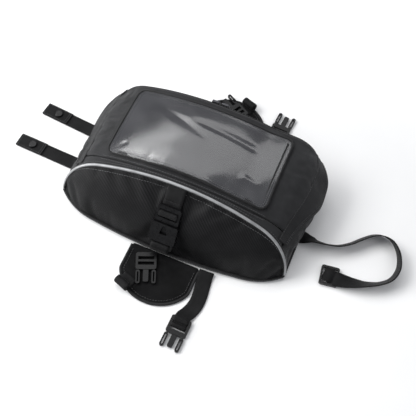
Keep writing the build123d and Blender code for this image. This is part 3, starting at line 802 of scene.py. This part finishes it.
HEM_Y = (-60.0, -30.0, -8.0, 12.0, 36.0, 54.0, 72.0, 97.0)
HEM_ANGLE = (34.0, 33.5, 32.0, 27.5, 19.0, 25.0, 31.0, 33.5)
for side, name in ((1, "right"), (-1, "left")):
    top_z = float(arch(FLAP_TOP_S)[1])
    y = np.linspace(lean_y(top_z) + 6.0, BACK_Y - 1.5, 72)
    hem_s = SHOULDER_R * np.radians(np.interp(y, HEM_Y, HEM_ANGLE))
    hem_s = np.convolve(np.pad(hem_s, 4, "edge"), np.ones(9) / 9, "valid")
    share = np.linspace(0, 1, FLAP_ROWS)[:, None]
    s = hem_s[None] + (FLAP_TOP_S - hem_s[None]) * share
    x, z = arch(s)
    p = np.stack([side * x, np.maximum(np.repeat(y[None], FLAP_ROWS, 0), lean_y(z) + 5.0), z], 2)
    out = np.stack([side * (x - SHOULDER_X), 0 * x, z - SPRING_Z], 2)
    hang = 1 - share
    flare = (3.2 if side > 0 else 0.9) + 0.7 * waves(p[..., 1], 0 * s, 5 + side, 60)
    lift = 1.0 + 0.35 * share + end_bulge(s, p[..., 1]) + hang**2.0 * flare
    p = outward(soften(p) + unit(out) * lift[..., None], CENTRE)
    body = f"{name}_flap"
    FLAP_BEND[body] = ("lid", body, shoulder_point(side, FLAP_TOP), shoulder_point(side, FLAP_BENT))
    cloth(f"{body}_cloth", p, body, "nylon", f"{name}_storm_flap", thickness=FLAP_T, bend=FLAP_BEND[body])
    n = normals_of(p)
    upwards = p[0, :, 2].mean() < p[-1, :, 2].mean()
    for row in (1, 2, FLAP_ROWS - 2) if upwards else (FLAP_ROWS - 2, FLAP_ROWS - 3, 1):
        sew(body, p[row, 1:-1] + n[row, 1:-1] * 0.1, n[row, 1:-1])

# Front shell: bulged cloth between the base's front edge and the piping.
COLUMNS, ROWS, FOOT_SHARE = 97, 26, 1 - 0.004
shell = np.zeros((COLUMNS, ROWS, 3))
for i, s in enumerate(np.linspace(0.5, ARCH_LEN - 0.5, COLUMNS)):
    x, z = arch(s)
    top = np.array((x, lean_y(z), z))
    foot_x = x * FOOT_SHARE
    foot = np.array((foot_x, float(front_edge_y(foot_x)), FLOOR_Z))
    v = np.linspace(0, 1, ROWS)[:, None]
    out = np.array((0.25 * x / HALF_LENGTH, -0.83, 0.5))
    bulge = (8.0 - 1.0 * (abs(x) < 16)) * ((z - FLOOR_Z) / RISE) ** 0.9 * np.sin(math.pi * v) ** 0.85
    shell[i] = foot + (top - foot) * v + unit(out) * bulge
shell = outward(shell, (0, 0, 0))
flat_strip = np.abs(shell[..., 0]) < 15
shell = drape(shell, edge_ring(shell) | flat_strip, 6.0, 4.0, slack=0.03)
cloth("front_shell_cloth", shell, "body", "carbon", "front_shell")
shell_n = normals_of(shell)

# Band between the piping and the lid's hinge, then the lid itself, crowned over its foam.
s_lid = np.linspace(SEAM_S, ARCH_LEN - SEAM_S, 76)
p = outward(wall_grid(s_lid, lambda z: lean_y(z) + 1.4, HINGE_Y - HINGE_GAP, 7), CENTRE)
cloth("front_band_cloth", soften(p), "body", "lid", "front_band")

p = outward(wall_grid(s_lid, HINGE_Y + HINGE_GAP, BACK_Y, 42), CENTRE)
under_window = (np.abs(p[..., 0]) < WINDOW_HALF_X + 8) & (np.abs(p[..., 1] - WINDOW_Y) < WINDOW_HALF_Y + 4.5)
lid_grid = drape(soften(p), edge_ring(p) | under_window, 4.0, 2.5, slack=0.03)
lid = cloth("lid_cloth", lid_grid, "lid", "lid", "lid_panel", thickness=LID_T)

# Back: flat cloth under the arch, eased round the corners.
BACK_INSET = 0.6
half = HALF_LENGTH - BACK_INSET
columns = []
for x in np.linspace(-half, half, 90):
    if abs(x) > SHOULDER_X + SHOULDER_R * math.cos(TANGENT):
        top = SPRING_Z + math.sqrt(max((SHOULDER_R - BACK_INSET) ** 2 - (abs(x) - SHOULDER_X) ** 2, 0))
    else:
        top = TOP_CENTRE_Z + math.sqrt((TOP_R - BACK_INSET) ** 2 - x * x)
    columns.append([(x, BACK_Y - BACK_INSET, z) for z in np.linspace(FLOOR_Z, max(top, FLOOR_Z + 0.8), 18)])
p = outward(np.array(columns), CENTRE)
p[..., 1] += 0.5 * waves(p[..., 0], p[..., 2], 11, 50) * (edge_ring(p) == 0) - 0.3
cloth("back_cloth", soften(p), "body", "nylon", "back_panel")


# ---------------------------------------------------------------- base
def rounded(x_half, y_front_inset, step=4.0):
    """The base's outline, with its back corners eased, moved in by an inset."""
    xs = np.linspace(-x_half, x_half, 90)
    front = np.stack([xs, front_edge_y(np.clip(xs, -HALF_LENGTH, HALF_LENGTH)) + y_front_inset], 1)
    a = np.linspace(0, math.pi / 2, 10)
    y_back = BACK_Y - y_front_inset
    r = CORNER_R * 0.8
    right = np.stack([x_half - r + r * np.cos(a), y_back - r + r * np.sin(a)], 1)
    left = np.stack([-x_half + r - r * np.sin(a), y_back - r + r * np.cos(a)], 1)
    return evenly(np.concatenate([front, right, left]), step, closed=True)


def slab(name, outline, low, high, ripple=0.0):
    """A flat piece with rounded edges under an outline, built of shrinking rings."""
    middle = outline.mean(0)
    flat = [middle + (outline - middle) * k for k in np.linspace(1, 0.02, 10)]

    def level(ring, z):
        return np.column_stack([ring, np.zeros(len(ring)) + z])

    top = [level(f, high + ripple * waves(f[:, 0], f[:, 1], 3, 40)) for f in flat[::-1]]
    edge = level(middle + (outline - middle) * 1.003, (low + high) / 2)
    p = np.array(top + [edge] + [level(f, low) for f in flat])
    faces, _ = grid_faces(*p.shape[:2], closed_m=True)
    verts = p.reshape(-1, 3)
    uvs = verts[faces][..., :2].reshape(-1, 2)
    m = p.shape[1]
    caps = [list(range(m)), list(range((p.shape[0] - 1) * m, p.shape[0] * m))[::-1]]
    uvs = np.concatenate([uvs] + [verts[c][:, :2] for c in caps])
    return make_object(name, verts, faces.tolist() + caps, uvs)


for name, inset, low, high, ripple, material, node, slot in (
        ("grip_pad_rubber", 6, 0.0, 1.9, 0.0, "rubber", "grip_pad", "grip_rubber"),
        ("floor_cloth", 1, 2.0, 4.0, 0.0, "nylon", "floor_panel", "nylon"),
        ("base_board_lined", 10, 4.1, 6.6, 0.2, "lining", "base_board", "board")):
    layer = slab(name, rounded(HALF_LENGTH - inset, inset), low, high, ripple)
    place(layer, "body", material, [node])

outline = rounded(HALF_LENGTH + 0.4, -0.4, 2.5)
path = np.column_stack([outline, np.full(len(outline), 3.6)])
along = tangents_of(path, True)
side = np.cross(along, Z)
section = [(-1.2, -2.5), (0.6, -2.7), (1.5, -2.1), (1.8, 0), (1.5, 2.3), (0.6, 3.0), (-1.4, 2.9), (-1.6, 2.3),
           (0.1, 1.6), (0.1, -1.7), (-1.4, -1.9)]
binding = sweep("edge_binding_tape", path, side, section[::-1], closed=True)
place(binding, "body", "binding", ["edge_binding"])
sew("body", path + side * 1.75 + Z * 1.2, side, closed=True)


# ---------------------------------------------------------------- silver piping over the front arch
PIPING_R, FLANGE_R = 1.95, 0.95


def arch_front(s, off=0.0, forward=0.0):
    """Points along the leaning front arch."""
    x, z = arch(s, off)
    return np.stack([x, lean_y(arch(s)[1]) - forward, z], -1)


s = np.linspace(3.5, ARCH_LEN - 3.5, 220)
core = arch_front(s, 0.9, 0.6)
inward = arch_front(s) - arch_front(s, 1.0)
piping = sweep("front_piping_silver", core, unit(inward), round_section(PIPING_R, 14))
place(piping, "body", "silver", ["front_piping"])
for label, forward, drop in (("front", 2.6, -0.4), ("rear", -1.9, 0.4)):
    lip = arch_front(s, 0.2 + drop, forward)
    flange = sweep(f"front_piping_{label}_flange", lip, unit(inward), round_section(FLANGE_R, 8, 0.8))
    place(flange, "body", "binding")
band_n = unit(arch_front(s, 1.0) - arch_front(s))
sew("body", arch_front(s[20:-20], 0.15, -5.2), band_n[20:-20])
seam, seam_n = shell[10:-10, -3], shell_n[10:-10, -3]
sew("body", seam + seam_n * 0.1, seam_n)

# Stitched seam on each side of the lid's hinge.
xs = np.linspace(-112, 112, 120)
for y, body in ((HINGE_Y - 2.6, "body"), (HINGE_Y + 2.8, "lid")):
    pts = np.stack([xs, np.full_like(xs, y), lid_z(xs, y) + 0.12], 1)
    sew(body, pts, Z)


# ---------------------------------------------------------------- window pocket
WINDOW_R = 11
MOUTH = 48.0
FILM_HALF_X, FILM_HALF_Y, FILM_CORNER = 110.8, 54.3, 10.8


def window_outline(inset, step):
    """The pocket's outline in the plan, moved in by an inset, anticlockwise from its front right corner."""
    hx, hy, r = WINDOW_HALF_X - inset, WINDOW_HALF_Y - inset, max(WINDOW_R - inset, 2)
    points = []
    for right, back, start in ((1, -1, -90), (1, 1, 0), (-1, 1, 90), (-1, -1, 180)):
        cx, cy = right * (hx - r), WINDOW_Y + back * (hy - r)
        for a in np.radians(np.linspace(start, start + 90, 9)):
            points.append((cx + r * math.cos(a), cy + r * math.sin(a)))
    return evenly(points, step, closed=True)


def mouth_lift(x, y):
    """How far the film and its edge stand off the lid at the open front of the pocket."""
    open_ = 1 - smooth(MOUTH - 22, MOUTH + 6, np.abs(x))
    return 3.4 * open_ * (1 - smooth(WINDOW_Y - WINDOW_HALF_Y, WINDOW_Y - WINDOW_HALF_Y + 34, y))


def window_z(x, y):
    """Height of the film over the lid."""
    tx, ty = x / (WINDOW_HALF_X - BORDER), (y - WINDOW_Y) / (WINDOW_HALF_Y - BORDER)
    belly = np.clip(1 - np.abs(tx) ** 2.5, 0, 1) * np.clip(1 - np.abs(ty) ** 2.5, 0, 1)
    return lid_z(x, y) + 1.9 + 2.6 * belly + mouth_lift(x, y)


def groove(x, y, start, end, depth, width):
    """A crease in the film from one point of the plan to another, fading out at both ends."""
    start, end = np.array(start), np.array(end)
    length = np.linalg.norm(end - start)
    along = ((x - start[0]) * (end[0] - start[0]) + (y - start[1]) * (end[1] - start[1])) / length
    across = ((x - start[0]) * (end[1] - start[1]) - (y - start[1]) * (end[0] - start[0])) / length
    fade = smooth(-0.05 * length, 0.25 * length, along) * (1 - smooth(0.75 * length, 1.05 * length, along))
    return depth * fade * np.exp(-(across / width) ** 2)


xs = np.linspace(-FILM_HALF_X, FILM_HALF_X, 100)
ys = np.linspace(WINDOW_Y - FILM_HALF_Y, WINDOW_Y + FILM_HALF_Y, 56)
gx, gy = np.meshgrid(xs, ys, indexing="ij")
over_x, over_y = np.abs(gx) - 100, np.abs(gy - WINDOW_Y) - 43.5
corner = np.clip(over_x / FILM_CORNER, 0, 1) * np.clip(over_y / FILM_CORNER, 0, 1)
gx2 = gx - np.sign(gx) * 3.1 * corner
gy2 = gy - np.sign(gy - WINDOW_Y) * 3.1 * corner
buckled = np.stack([gx2, gy2, window_z(gx2, gy2)], 2)
inside = np.clip(1 - np.abs(gx / 102) ** 6, 0, 1) * np.clip(1 - np.abs((gy - WINDOW_Y) / 51) ** 6, 0, 1)
buckled[..., 2] += inside * 0.3 * waves(gx, gy, 21, 95)
CREASES = (
    ((-22, 57), (82, 48), 2.3, 4.6),
    ((-78, 66), (18, 32), 1.5, 6.0),
    ((-92, 76), (-26, 72), 2.2, 8.0),
    ((64, 5), (96, 1), -2.2, 5.0),
    ((-103, -14), (-88, -3), 1.5, 3.4),
    ((-30, 8), (60, 12), 0.5, 16.0),
)
for crease in CREASES:
    buckled[..., 2] -= inside * groove(gx, gy, *crease)
buckled[..., 2] = np.maximum(buckled[..., 2], lid_z(gx2, gy2) + 1.6)
buckled = outward(buckled, CENTRE)
clear = cloth("window_film_clear", buckled, "lid", "film", "window_film", FILM_T)

backing = np.stack([gx2, gy2, lid_z(gx2, gy2) + 0.75 + 0.15 * waves(gx, gy, 31, 30)], 2)
backing = outward(backing, CENTRE)
cloth("pocket_backing_cloth", backing, "lid", "lining", "pocket_backing", thickness=FILM_T, subdivide=0)


def window_ring(inset, rise, step=2.5):
    """A closed line round the window, with its sideways and upward directions."""
    ring = window_outline(inset, step)
    lift = mouth_lift(ring[:, 0], ring[:, 1]) * (ring[:, 1] < WINDOW_Y)
    line = np.column_stack([ring, lid_z(ring[:, 0], ring[:, 1]) + rise + lift])
    up = unit(np.stack([ring[:, 0] / TOP_R, 0 * ring[:, 0], 1 + 0 * ring[:, 0]], 1))
    return line, np.cross(tangents_of(line, True), up)


TAPE = [(-3.9, -0.4), (3.9, -0.4), (4.2, 0.0), (3.9, 0.4), (0, 0.35), (-3.9, 0.4), (-4.2, 0.0)]
TRIM = [(-1.0, -1.1), (1.0, -1.1), (1.15, 0.2), (0.5, 0.75), (-0.5, 0.75), (-1.15, 0.2)]
border = sweep("window_border_tape", *window_ring(4.3, 1.05), TAPE, closed=True)
place(border, "lid", "binding", ["window_border"])
place(sweep("window_edge_trim", *window_ring(0.9, 1.75), TRIM, closed=True), "lid", "binding")
for inset in (3.0, 5.6):
    line, _ = window_ring(inset, 1.9 + 0.1 * (inset > 4), 1.5)
    sew("lid", line, Z, closed=True, pitch=3.0, length=2.3, radius=0.3)

# A bar tack of dense zigzag thread at each side of the pocket's mouth.
TACKS, TACK_LENGTH, TACK_WIDTH = 15, 13.0, 4.4
for side, x in (("left", -88.0), ("right", 88.0)):
    y = WINDOW_Y - WINDOW_HALF_Y + BORDER / 2
    k = np.arange(TACKS)
    along, across = (k / (TACKS - 1) - 0.5) * TACK_LENGTH, np.where(k % 2, 0.5, -0.5) * TACK_WIDTH
    line = np.stack([x + along, y + across, np.full(TACKS, float(lid_z(x, y)) + 2.35)], 1)
    line[:, 2] += (line[:, 0] - x) * -x / TOP_R
    place(sweep(f"bar_tack_{side}", line, np.repeat([Z], TACKS, 0), round_section(0.42, 6)), "lid", "thread")


# ---------------------------------------------------------------- centre strap and the webbing at its buckle
FOOT = np.array((0.0, -BACK_Y, FLOOR_Z))
CHORD = np.array((0.0, 58.0, TOP_Z - FLOOR_Z))
CHORD_LEN = float(np.linalg.norm(CHORD))
UP = CHORD / CHORD_LEN
OFF = np.array((0.0, -UP[2], UP[1]))
X = np.array((1.0, 0.0, 0.0))


def on_slope(along, off):
    """A point in the middle plane, given up the front's chord and off it."""
    return FOOT + UP * along + OFF * off


v = np.linspace(0.03, 0.975, 24)
strip = [on_slope(k * CHORD_LEN, 32 * k * (1 - k) + 1.15) for k in v]
web("centre_strap_web", "body", "centre_strap", ["front_shell_cloth"], "stretched",
    strip, X, CENTRE_WEB_WIDTH)

PLACE_ALONG, PLACE_OFF = CHORD_LEN / 2, 13.2
turn_route = [(6.2, -2.9), (7.9, -1.8), (8.5, 0.4), (9.3, 2.8), (12.2, 3.3), (15.1, 2.8), (16.0, 0.4),
              (16.8, -1.8), (19.0, -3.3), (23.5, -4.4), (28.0, -5.2)]
web("centre_strap_turn_web", "centre_male", "centre_strap_turn", ["centre_buckle"], "folded",
    [on_slope(PLACE_ALONG + a, PLACE_OFF + b) for a, b in turn_route], X, CENTRE_WEB_WIDTH, 1.4, 1.2)

loop_route = [(2, 3.6), (9, 7.0), (14.5, 9.4), (18.3, 10.6), (19.7, 13.2), (18.3, 16.4), (14.5, 17.3),
              (10.0, 15.4), (6.0, 11.6), (3.6, 8.6)]
web("centre_lower_loop_web", "body", "centre_lower_web", ["centre_buckle_socket"], "folded",
    [on_slope(a, b) for a, b in loop_route], X, CENTRE_WEB_WIDTH, 1.4, 1.2)


# ---------------------------------------------------------------- saddle flaps, outside the front and the back
(SKIRT_LEFT, _, _), (SKIRT_RIGHT, root_y, SKIRT_T) = box_mm("front_skirt")
SKIRT_ROOT, SKIRT_REACH, SKIRT_STRAIGHT = -root_y, 67.0, 36.0


def skirt_half(d):
    """Half the width of a saddle flap at a distance from its root."""
    half = (SKIRT_RIGHT - SKIRT_LEFT) / 2
    rise = SKIRT_REACH - SKIRT_STRAIGHT
    radius = (half**2 + rise**2) / (2 * rise)
    d = np.asarray(d, float)
    deep = np.sqrt(np.maximum(radius**2 - (d - SKIRT_REACH + radius) ** 2, 0))
    return np.where(d < SKIRT_STRAIGHT, half, np.minimum(deep, half))


def saddle_flap(prefix, sign):
    """A doubled nylon flap with a bound, stitched edge."""
    middle = (SKIRT_LEFT + SKIRT_RIGHT) / 2
    rounded_part = SKIRT_REACH - (SKIRT_REACH - SKIRT_STRAIGHT) * np.linspace(1, 0.0, 16) ** 1.6
    d = np.concatenate([np.linspace(-1.8, SKIRT_STRAIGHT, 12)[:-1], rounded_part])
    d[-1] -= 0.3
    share = np.linspace(-1, 1, 25)
    x = middle + skirt_half(d)[:, None] * share[None] * 0.985
    dd = np.repeat(d[:, None], 25, 1)
    lift = 0.25 * waves(x, dd, 41 + sign, 34)
    rise = 1.6 * (1 - smooth(-1.8, 9, dd))
    p = np.stack([x, sign * (SKIRT_ROOT + dd), SKIRT_T - 0.25 + lift * 0.5 + rise], 2)
    p = p if normals_of(p)[..., 2].mean() > 0 else p[::-1]
    body = f"{prefix}_saddle_flap"
    flap = cloth(f"{prefix}_flap_cloth", p, body, "darker_flap_nylon", f"{prefix}_skirt", thickness=SADDLE_T)
    a = SKIRT_REACH - 0.2 - (SKIRT_REACH - 0.2) * (np.linspace(1, 0, 70) ** 2)
    left, right = (np.stack([middle + k * skirt_half(a), sign * (SKIRT_ROOT + a)], 1) for k in (-1, 1))
    rim = evenly(np.concatenate([left, right[::-1]]), 2.0)
    rim[1:-1] = (rim[:-2] + rim[1:-1] * 2 + rim[2:]) / 4
    path = np.column_stack([rim, np.full(len(rim), SKIRT_T / 2 + 0.1)])
    inward_ = np.cross(tangents_of(path), Z)
    shape = [(-1.4, -1.15), (1.4, -1.15), (1.9, -0.5), (1.9, 0.5), (1.4, 1.25), (-1.4, 1.3)]
    edge = sweep(f"{prefix}_flap_binding", path, inward_, shape)
    place(edge, body, "binding")
    toward = np.array((middle, sign * (SKIRT_ROOT + 20), 0)) - path
    toward[:, 2] = 0
    seam = path + unit(toward) * 4.4
    seam[:, 2] = SKIRT_T + 0.1
    sew(body, seam[3:-3], Z)


saddle_flap("front", -1)
saddle_flap("rear", 1)


def web_roll(name, body, node, heading, tail_sign, seed):
    """Spare webbing rolled up on itself, with its tail leading off along the flap."""
    low, high = box_mm(node)
    middle = (low + high) / 2
    axis = np.array((math.cos(math.radians(heading)), math.sin(math.radians(heading)), 0))
    across = np.cross(Z, axis) * tail_sign
    turns = 2.35
    a = np.linspace(0, turns * 2 * math.pi, 90)
    r = 1.9 + 1.62 * a / (2 * math.pi) + 0.12 * np.sin(3 * a + seed)
    start = -math.pi / 2 - turns * 2 * math.pi
    ring = middle + np.outer(r * np.cos(a + start), across) + np.outer(r * np.sin(a + start), Z)
    tail = [ring[-1] + across * k + Z * (0.0 if k < 9 else -0.15) for k in (3.0, 7.0, 11.0, 15.0)]
    path = np.concatenate([ring[::3], tail])
    web(name, body, node, [f"{body.split('_')[0]}_flap_cloth"], "folded", path, axis, WEB_WIDTH, 1.3, 1.3)


web_roll("front_roll_web", "front_saddle_flap", "front_web_roll", -20, 1, 0.0)
web_roll("rear_roll_web", "rear_saddle_flap", "rear_web_roll", -20, -1, 1.0)


# ---------------------------------------------------------------- side straps, threaded through their buckles
def threaded(name, body, node, route, at, heading):
    """A strap along a route in the plan, then woven over and under the bars of the buckle's frame."""
    h = math.radians(heading)
    go = np.array((math.cos(h), math.sin(h), 0))
    at = np.array((*at, 0.0))
    weave = [(25.5, 4.1), (20.8, 5.0), (17.6, 4.0), (16.0, 2.4), (14.2, 4.2), (12.2, 4.95), (10.2, 4.3),
             (8.7, 2.2)]
    points = [np.array((x, y, 0.9 + lift)) for x, y, lift in route]
    points += [at - go * along + Z * z for along, z in weave]
    side = unit(np.cross(Z, unit(np.gradient(np.array(points), axis=0))))
    web(name, body, node, ["edge_binding_tape"], "laid", points, side, WEB_WIDTH, 1.35, 1.6)


threaded("front_side_web", "front_saddle_flap", "front_side_strap",
         [(66.4, -98.6, 2.6), (66.8, -106.0, 1.0), (68.6, -119.0, 0.2), (70.6, -134.0, 0.3),
          (70.4, -147.0, 0.1), (67.0, -159.0, 0.8)], (62.5, -193.5), -91.0)
threaded("rear_side_web", "rear_saddle_flap", "rear_side_strap",
         [(75.8, 98.6, 2.2), (76.0, 104.0, 0.6), (76.2, 113.0, 0.1), (76.0, 121.0, 0.9)],
         (78.0, 154.0), 86.0)


# ---------------------------------------------------------------- end straps
def folded_strap(prefix, root, end, share):
    """A strap whose end is folded back on itself and sewn down, for a press stud."""
    root, end = np.array((*root, 0.0)), np.array((*end, 0.0))
    go = unit(end - root)
    length = float(np.linalg.norm(end - root))
    seam = share * length
    low = [(-2.6, 3.4), (1.5, 2.4), (7, 1.0)]
    low += [(k, 0.8 + 0.12 * math.sin(k / 7)) for k in np.linspace(13, length - 1.2, 14)]
    fold = [(length - 0.5, 0.95), (length - 0.2, 1.65), (length - 0.5, 2.3)]
    high = [(k, 2.42) for k in np.linspace(length - 1.6, seam, 8)]
    points = [root + go * a + Z * z for a, z in low + fold + high]
    side = np.cross(Z, go)
    body = f"{prefix}_end_strap"
    web(f"{prefix}_web", body, f"{prefix}_strap", ["edge_binding_tape"], "folded",
        points, side, WEB_WIDTH, 1.35, 1.1)
    for along in (seam + 1.6, seam + 4.4, length - 3.0):
        line = [root + go * along + side * k + Z * 3.15 for k in np.linspace(-8.5, 8.5, 9)]
        sew(body, line, Z, pitch=2.6, length=2.0)
    for k in (-8.3, 8.3):
        line = [root + go * a + side * k + Z * 3.15 for a in np.linspace(seam + 2, length - 3, 12)]
        sew(body, line, Z, pitch=2.8, length=2.1)


END_X = HALF_LENGTH + 4.2
folded_strap("left_rear", (-END_X, 36.2), (-248.0, 44.3), 0.52)
folded_strap("left_front", (-END_X, -22.0), (-257.5, -17.7), 0.56)

LEAN = np.array((0.19, -0.46, 0.87))
FLAT = np.array((0.0, -1.0, 0.0))
# The strap's points: x, y, height, and how far it leans over from standing on edge.
route = [
    (160.6, -2.3, 3.4, 0.0), (165.0, -2.4, 3.2, 0.12), (172.0, -2.8, 4.6, 0.5), (181.0, -3.4, 7.6, 0.85),
    (195.0, -2.6, 9.2, 1.0), (211.0, 1.6, 9.4, 1.0), (225.0, 11.0, 9.4, 1.0), (238.0, 24.5, 9.4, 1.0),
    (251.0, 35.8, 9.4, 1.0), (264.0, 39.6, 9.4, 1.0), (277.0, 35.0, 9.4, 1.0), (288.0, 21.0, 9.4, 1.0),
    (293.0, 2.0, 9.4, 1.0), (289.0, -15.5, 9.4, 1.0), (277.0, -27.5, 9.2, 0.95), (260.0, -35.5, 8.0, 0.75),
    (244.0, -39.6, 6.2, 0.4), (232.0, -41.4, 5.4, 0.1), (226.0, -42.0, 5.5, 0.0), (222.4, -41.8, 4.6, 0.0),
    (220.0, -41.4, 2.8, 0.0), (217.4, -41.1, 4.6, 0.0), (214.0, -40.6, 5.5, 0.0), (210.8, -40.2, 4.9, 0.0),
    (208.2, -39.8, 4.2, 0.0), (205.9, -39.5, 3.0, 0.0),
]
side = np.array([unit(FLAT * (1 - r[3]) + LEAN * r[3]) for r in route])
web("right_web", "right_end_strap", "right_strap", ["edge_binding_tape", "right_ladder_lock"], "laid",
    [r[:3] for r in route], side, WEB_WIDTH, 1.4, 2.0,
    bend=("body", "right_end_strap", (0.163, 0.0, 0.0), (0.200, -0.030, 0.0)))


# ---------------------------------------------------------------- zip round the lid
TOOTH_PITCH, TOOTH = 2.6, (1.35, 1.3, 1.0)
ZIP_TURN = SHOULDER_R * math.radians(42)
LID_TEETH_AT, BODY_TEETH_AT = math.radians(38.7), math.radians(36.2)


def beads(path, up, shift=0.0):
    """Small moulded teeth at even steps along a path."""
    p = evenly(path, TOOTH_PITCH)
    if np.ndim(up) == 1:
        up = np.repeat(np.asarray(up, float)[None], len(p), 0)
    else:
        up = evenly(up, TOOTH_PITCH)[:len(p)]
    if len(up) != len(p):
        to, at = np.linspace(0, 1, len(p)), np.linspace(0, 1, len(up))
        up = np.stack([np.interp(to, at, up[:, k]) for k in range(3)], 1)
    t = tangents_of(p)
    p = p + t * shift
    up = square_to(up, t)
    side = np.cross(t, up)
    verts, faces, uvs = [], [], []
    for q, tt, uu, ss in zip(p, t, up, side):
        first = len(verts)
        for level, share in ((0.0, 1.0), (0.65, 1.0), (1.0, 0.7)):
            for a, b in ((-1, -1), (1, -1), (1, 1), (-1, 1)):
                flat = tt * a * TOOTH[0] / 2 * share + ss * b * TOOTH[1] / 2 * share
                verts.append(q + flat + uu * level * TOOTH[2])
        body, rc = grid_faces(3, 4, closed_m=True, flip=True, start=first)
        faces += body.tolist() + [[first + k for k in (8, 9, 10, 11)], [first + k for k in (3, 2, 1, 0)]]
        uvs += (np.stack([rc[..., 1], rc[..., 0]], 2) * 0.5).reshape(-1, 2).tolist()
        uvs += [[0, 0], [1, 0], [1, 1], [0, 1]] * 2
    return verts, faces, uvs


def arch_run(inset):
    """The zip's line across the back face, at an inset from the arch."""
    s = np.linspace(ZIP_TURN, ARCH_LEN - ZIP_TURN, 160)
    x, z = arch(s, -inset)
    return soften(np.stack([x, np.full_like(x, BACK_Y), z], 1))


def back_strip(name, low, high, body, node):
    """A flat zip tape on the back face."""
    p = np.stack([arch_run(k) for k in np.linspace(low, high, 5)], 1)
    p[..., 1] += 0.75
    n = normals_of(p)
    p = p if n[..., 1].mean() > 0 else p[:, ::-1]
    cloth(name, p, body, "binding", node, thickness=0.6, subdivide=0)


back_strip("zip_body_tape_cloth", 6.4, 12.0, "body", "zip_body_tape")
back_strip("zip_lid_tape_cloth", 0.4, 2.6, "lid", "zip_lid_tape")
Y = np.array((0.0, 1.0, 0.0))
run = arch_run(3.45)
outwards = np.sign(run[:, 0]) * smooth(BACK_Y, BACK_Y - 8, run[:, 1]) * 0.6
back_up = unit(np.stack([outwards, np.ones(len(run)), 0 * run[:, 0]], 1))
lid_teeth = [beads(run + back_up * 0.2, back_up, shift=TOOTH_PITCH / 2)]
body_teeth = [beads(arch_run(5.35) + back_up * 0.2, back_up)]
for sign in (1, -1):
    for angle, rows in ((LID_TEETH_AT, lid_teeth), (BODY_TEETH_AT, body_teeth)):
        y = np.linspace(HINGE_Y + 8, BACK_Y - 4, 40)
        normal = np.array((sign * math.cos(angle), 0, math.sin(angle)))
        foot = np.array((sign * SHOULDER_X, 0, SPRING_Z)) + normal * (SHOULDER_R + 0.1)
        line = np.stack([np.full(40, foot[0]), y, np.full(40, foot[2])], 1)
        rows.append(beads(soften(line), normal))
place(joined("zip_lid_teeth_row", lid_teeth), "lid", "teeth", ["zip_lid_teeth"])
place(joined("zip_body_teeth_row", body_teeth), "body", "teeth", ["zip_body_teeth"])
sew("body", arch_run(10.6) + back_up * 0.8, Y)
sew("lid", arch_run(0.9) + back_up * 0.8, Y)

for body, rows in sewn.items():
    shade = "thread" if body in ("body", "lid") else "dark_thread"
    place(joined(f"{body}_stitching", rows), body, shade, bend=FLAP_BEND.get(body))


# ---------------------------------------------------------------- hard parts keep their CAD shape
FINISH = {"buckle": "plastic", "ladder": "plastic", "slider": "slider", "pull": "slider", "stud": "stud"}
for node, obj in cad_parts.items():
    for word, material in FINISH.items():
        if word in node and "web" not in node:
            for holder in obj.material_slots:
                holder.material = M[material]


# ---------------------------------------------------------------- floor, light and camera
def floor_material():
    s = Shader("studio_floor", (0.80, 0.80, 0.79), 0.6)
    s.colour(s.mix(s.patches(160, 3, 0.3, 0.7, 0, 1), (0.79, 0.79, 0.785), (0.83, 0.83, 0.825)))
    s.bump(s.noise(2.0, 3), 0.02)
    return s.material


FLOOR_HALF, FLOOR_GAP, FLOOR_T = 4500, 0.15, 5.0
xs = np.linspace(-FLOOR_HALF, FLOOR_HALF, 5)
gx, gy = np.meshgrid(xs, xs, indexing="ij")
p = np.stack([gx, gy, np.full_like(gx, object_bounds()[0][2] / MM - FLOOR_GAP)], 2)
floor = thick_grid("studio_floor", p, FLOOR_T)
floor.data.materials.append(floor_material())

scene = bpy.context.scene
world = bpy.data.worlds.new("studio")
world.use_nodes = True
world.node_tree.nodes["Background"].inputs["Color"].default_value = (0.92, 0.94, 1.0, 1)
world.node_tree.nodes["Background"].inputs["Strength"].default_value = 0.42
scene.world = world
scene.view_settings.view_transform = "Standard"
scene.view_settings.look = "None"

AIM = Vector((0.0, 0.0035, 0.040))

SOFTBOXES = (
    ("key", (-1.35, -0.35, 1.45), 1.2, 0.9, 25),
    ("overhead", (-0.4, 0.44, 1.30), 2.0, 0.95, 11),
    ("strip", (-0.85, 0.50, 1.25), 0.9, 0.35, 2.5),
    ("fill", (1.5, 0.1, 1.4), 1.0, 1.0, 5),
    ("front", (-1.5, -0.7, 0.45), 0.7, 0.5, 20),
)
for name, position, width, height, power in SOFTBOXES:
    light = bpy.data.lights.new(name, "AREA")
    light.shape = "RECTANGLE"
    light.size, light.size_y, light.energy = width, height, power
    obj = bpy.data.objects.new(name, light)
    obj.location = position
    obj.rotation_euler = (AIM - Vector(position)).to_track_quat("-Z", "Y").to_euler()
    scene.collection.objects.link(obj)

eye = Vector((0.2002, -0.4904, 0.9630))
camera = bpy.data.cameras.new("camera")
camera.lens, camera.sensor_width = 69.2, 36.0
camera.shift_x, camera.shift_y = 0.039, -0.0747
camera.clip_end = 20
lens = bpy.data.objects.new("camera", camera)
turn_to = (AIM - eye).to_track_quat("-Z", "Y").to_matrix() @ Matrix.Rotation(math.radians(1.53), 3, "Z")
lens.matrix_world = Matrix.Translation(eye) @ turn_to.to_4x4()
scene.collection.objects.link(lens)
scene.camera = lens
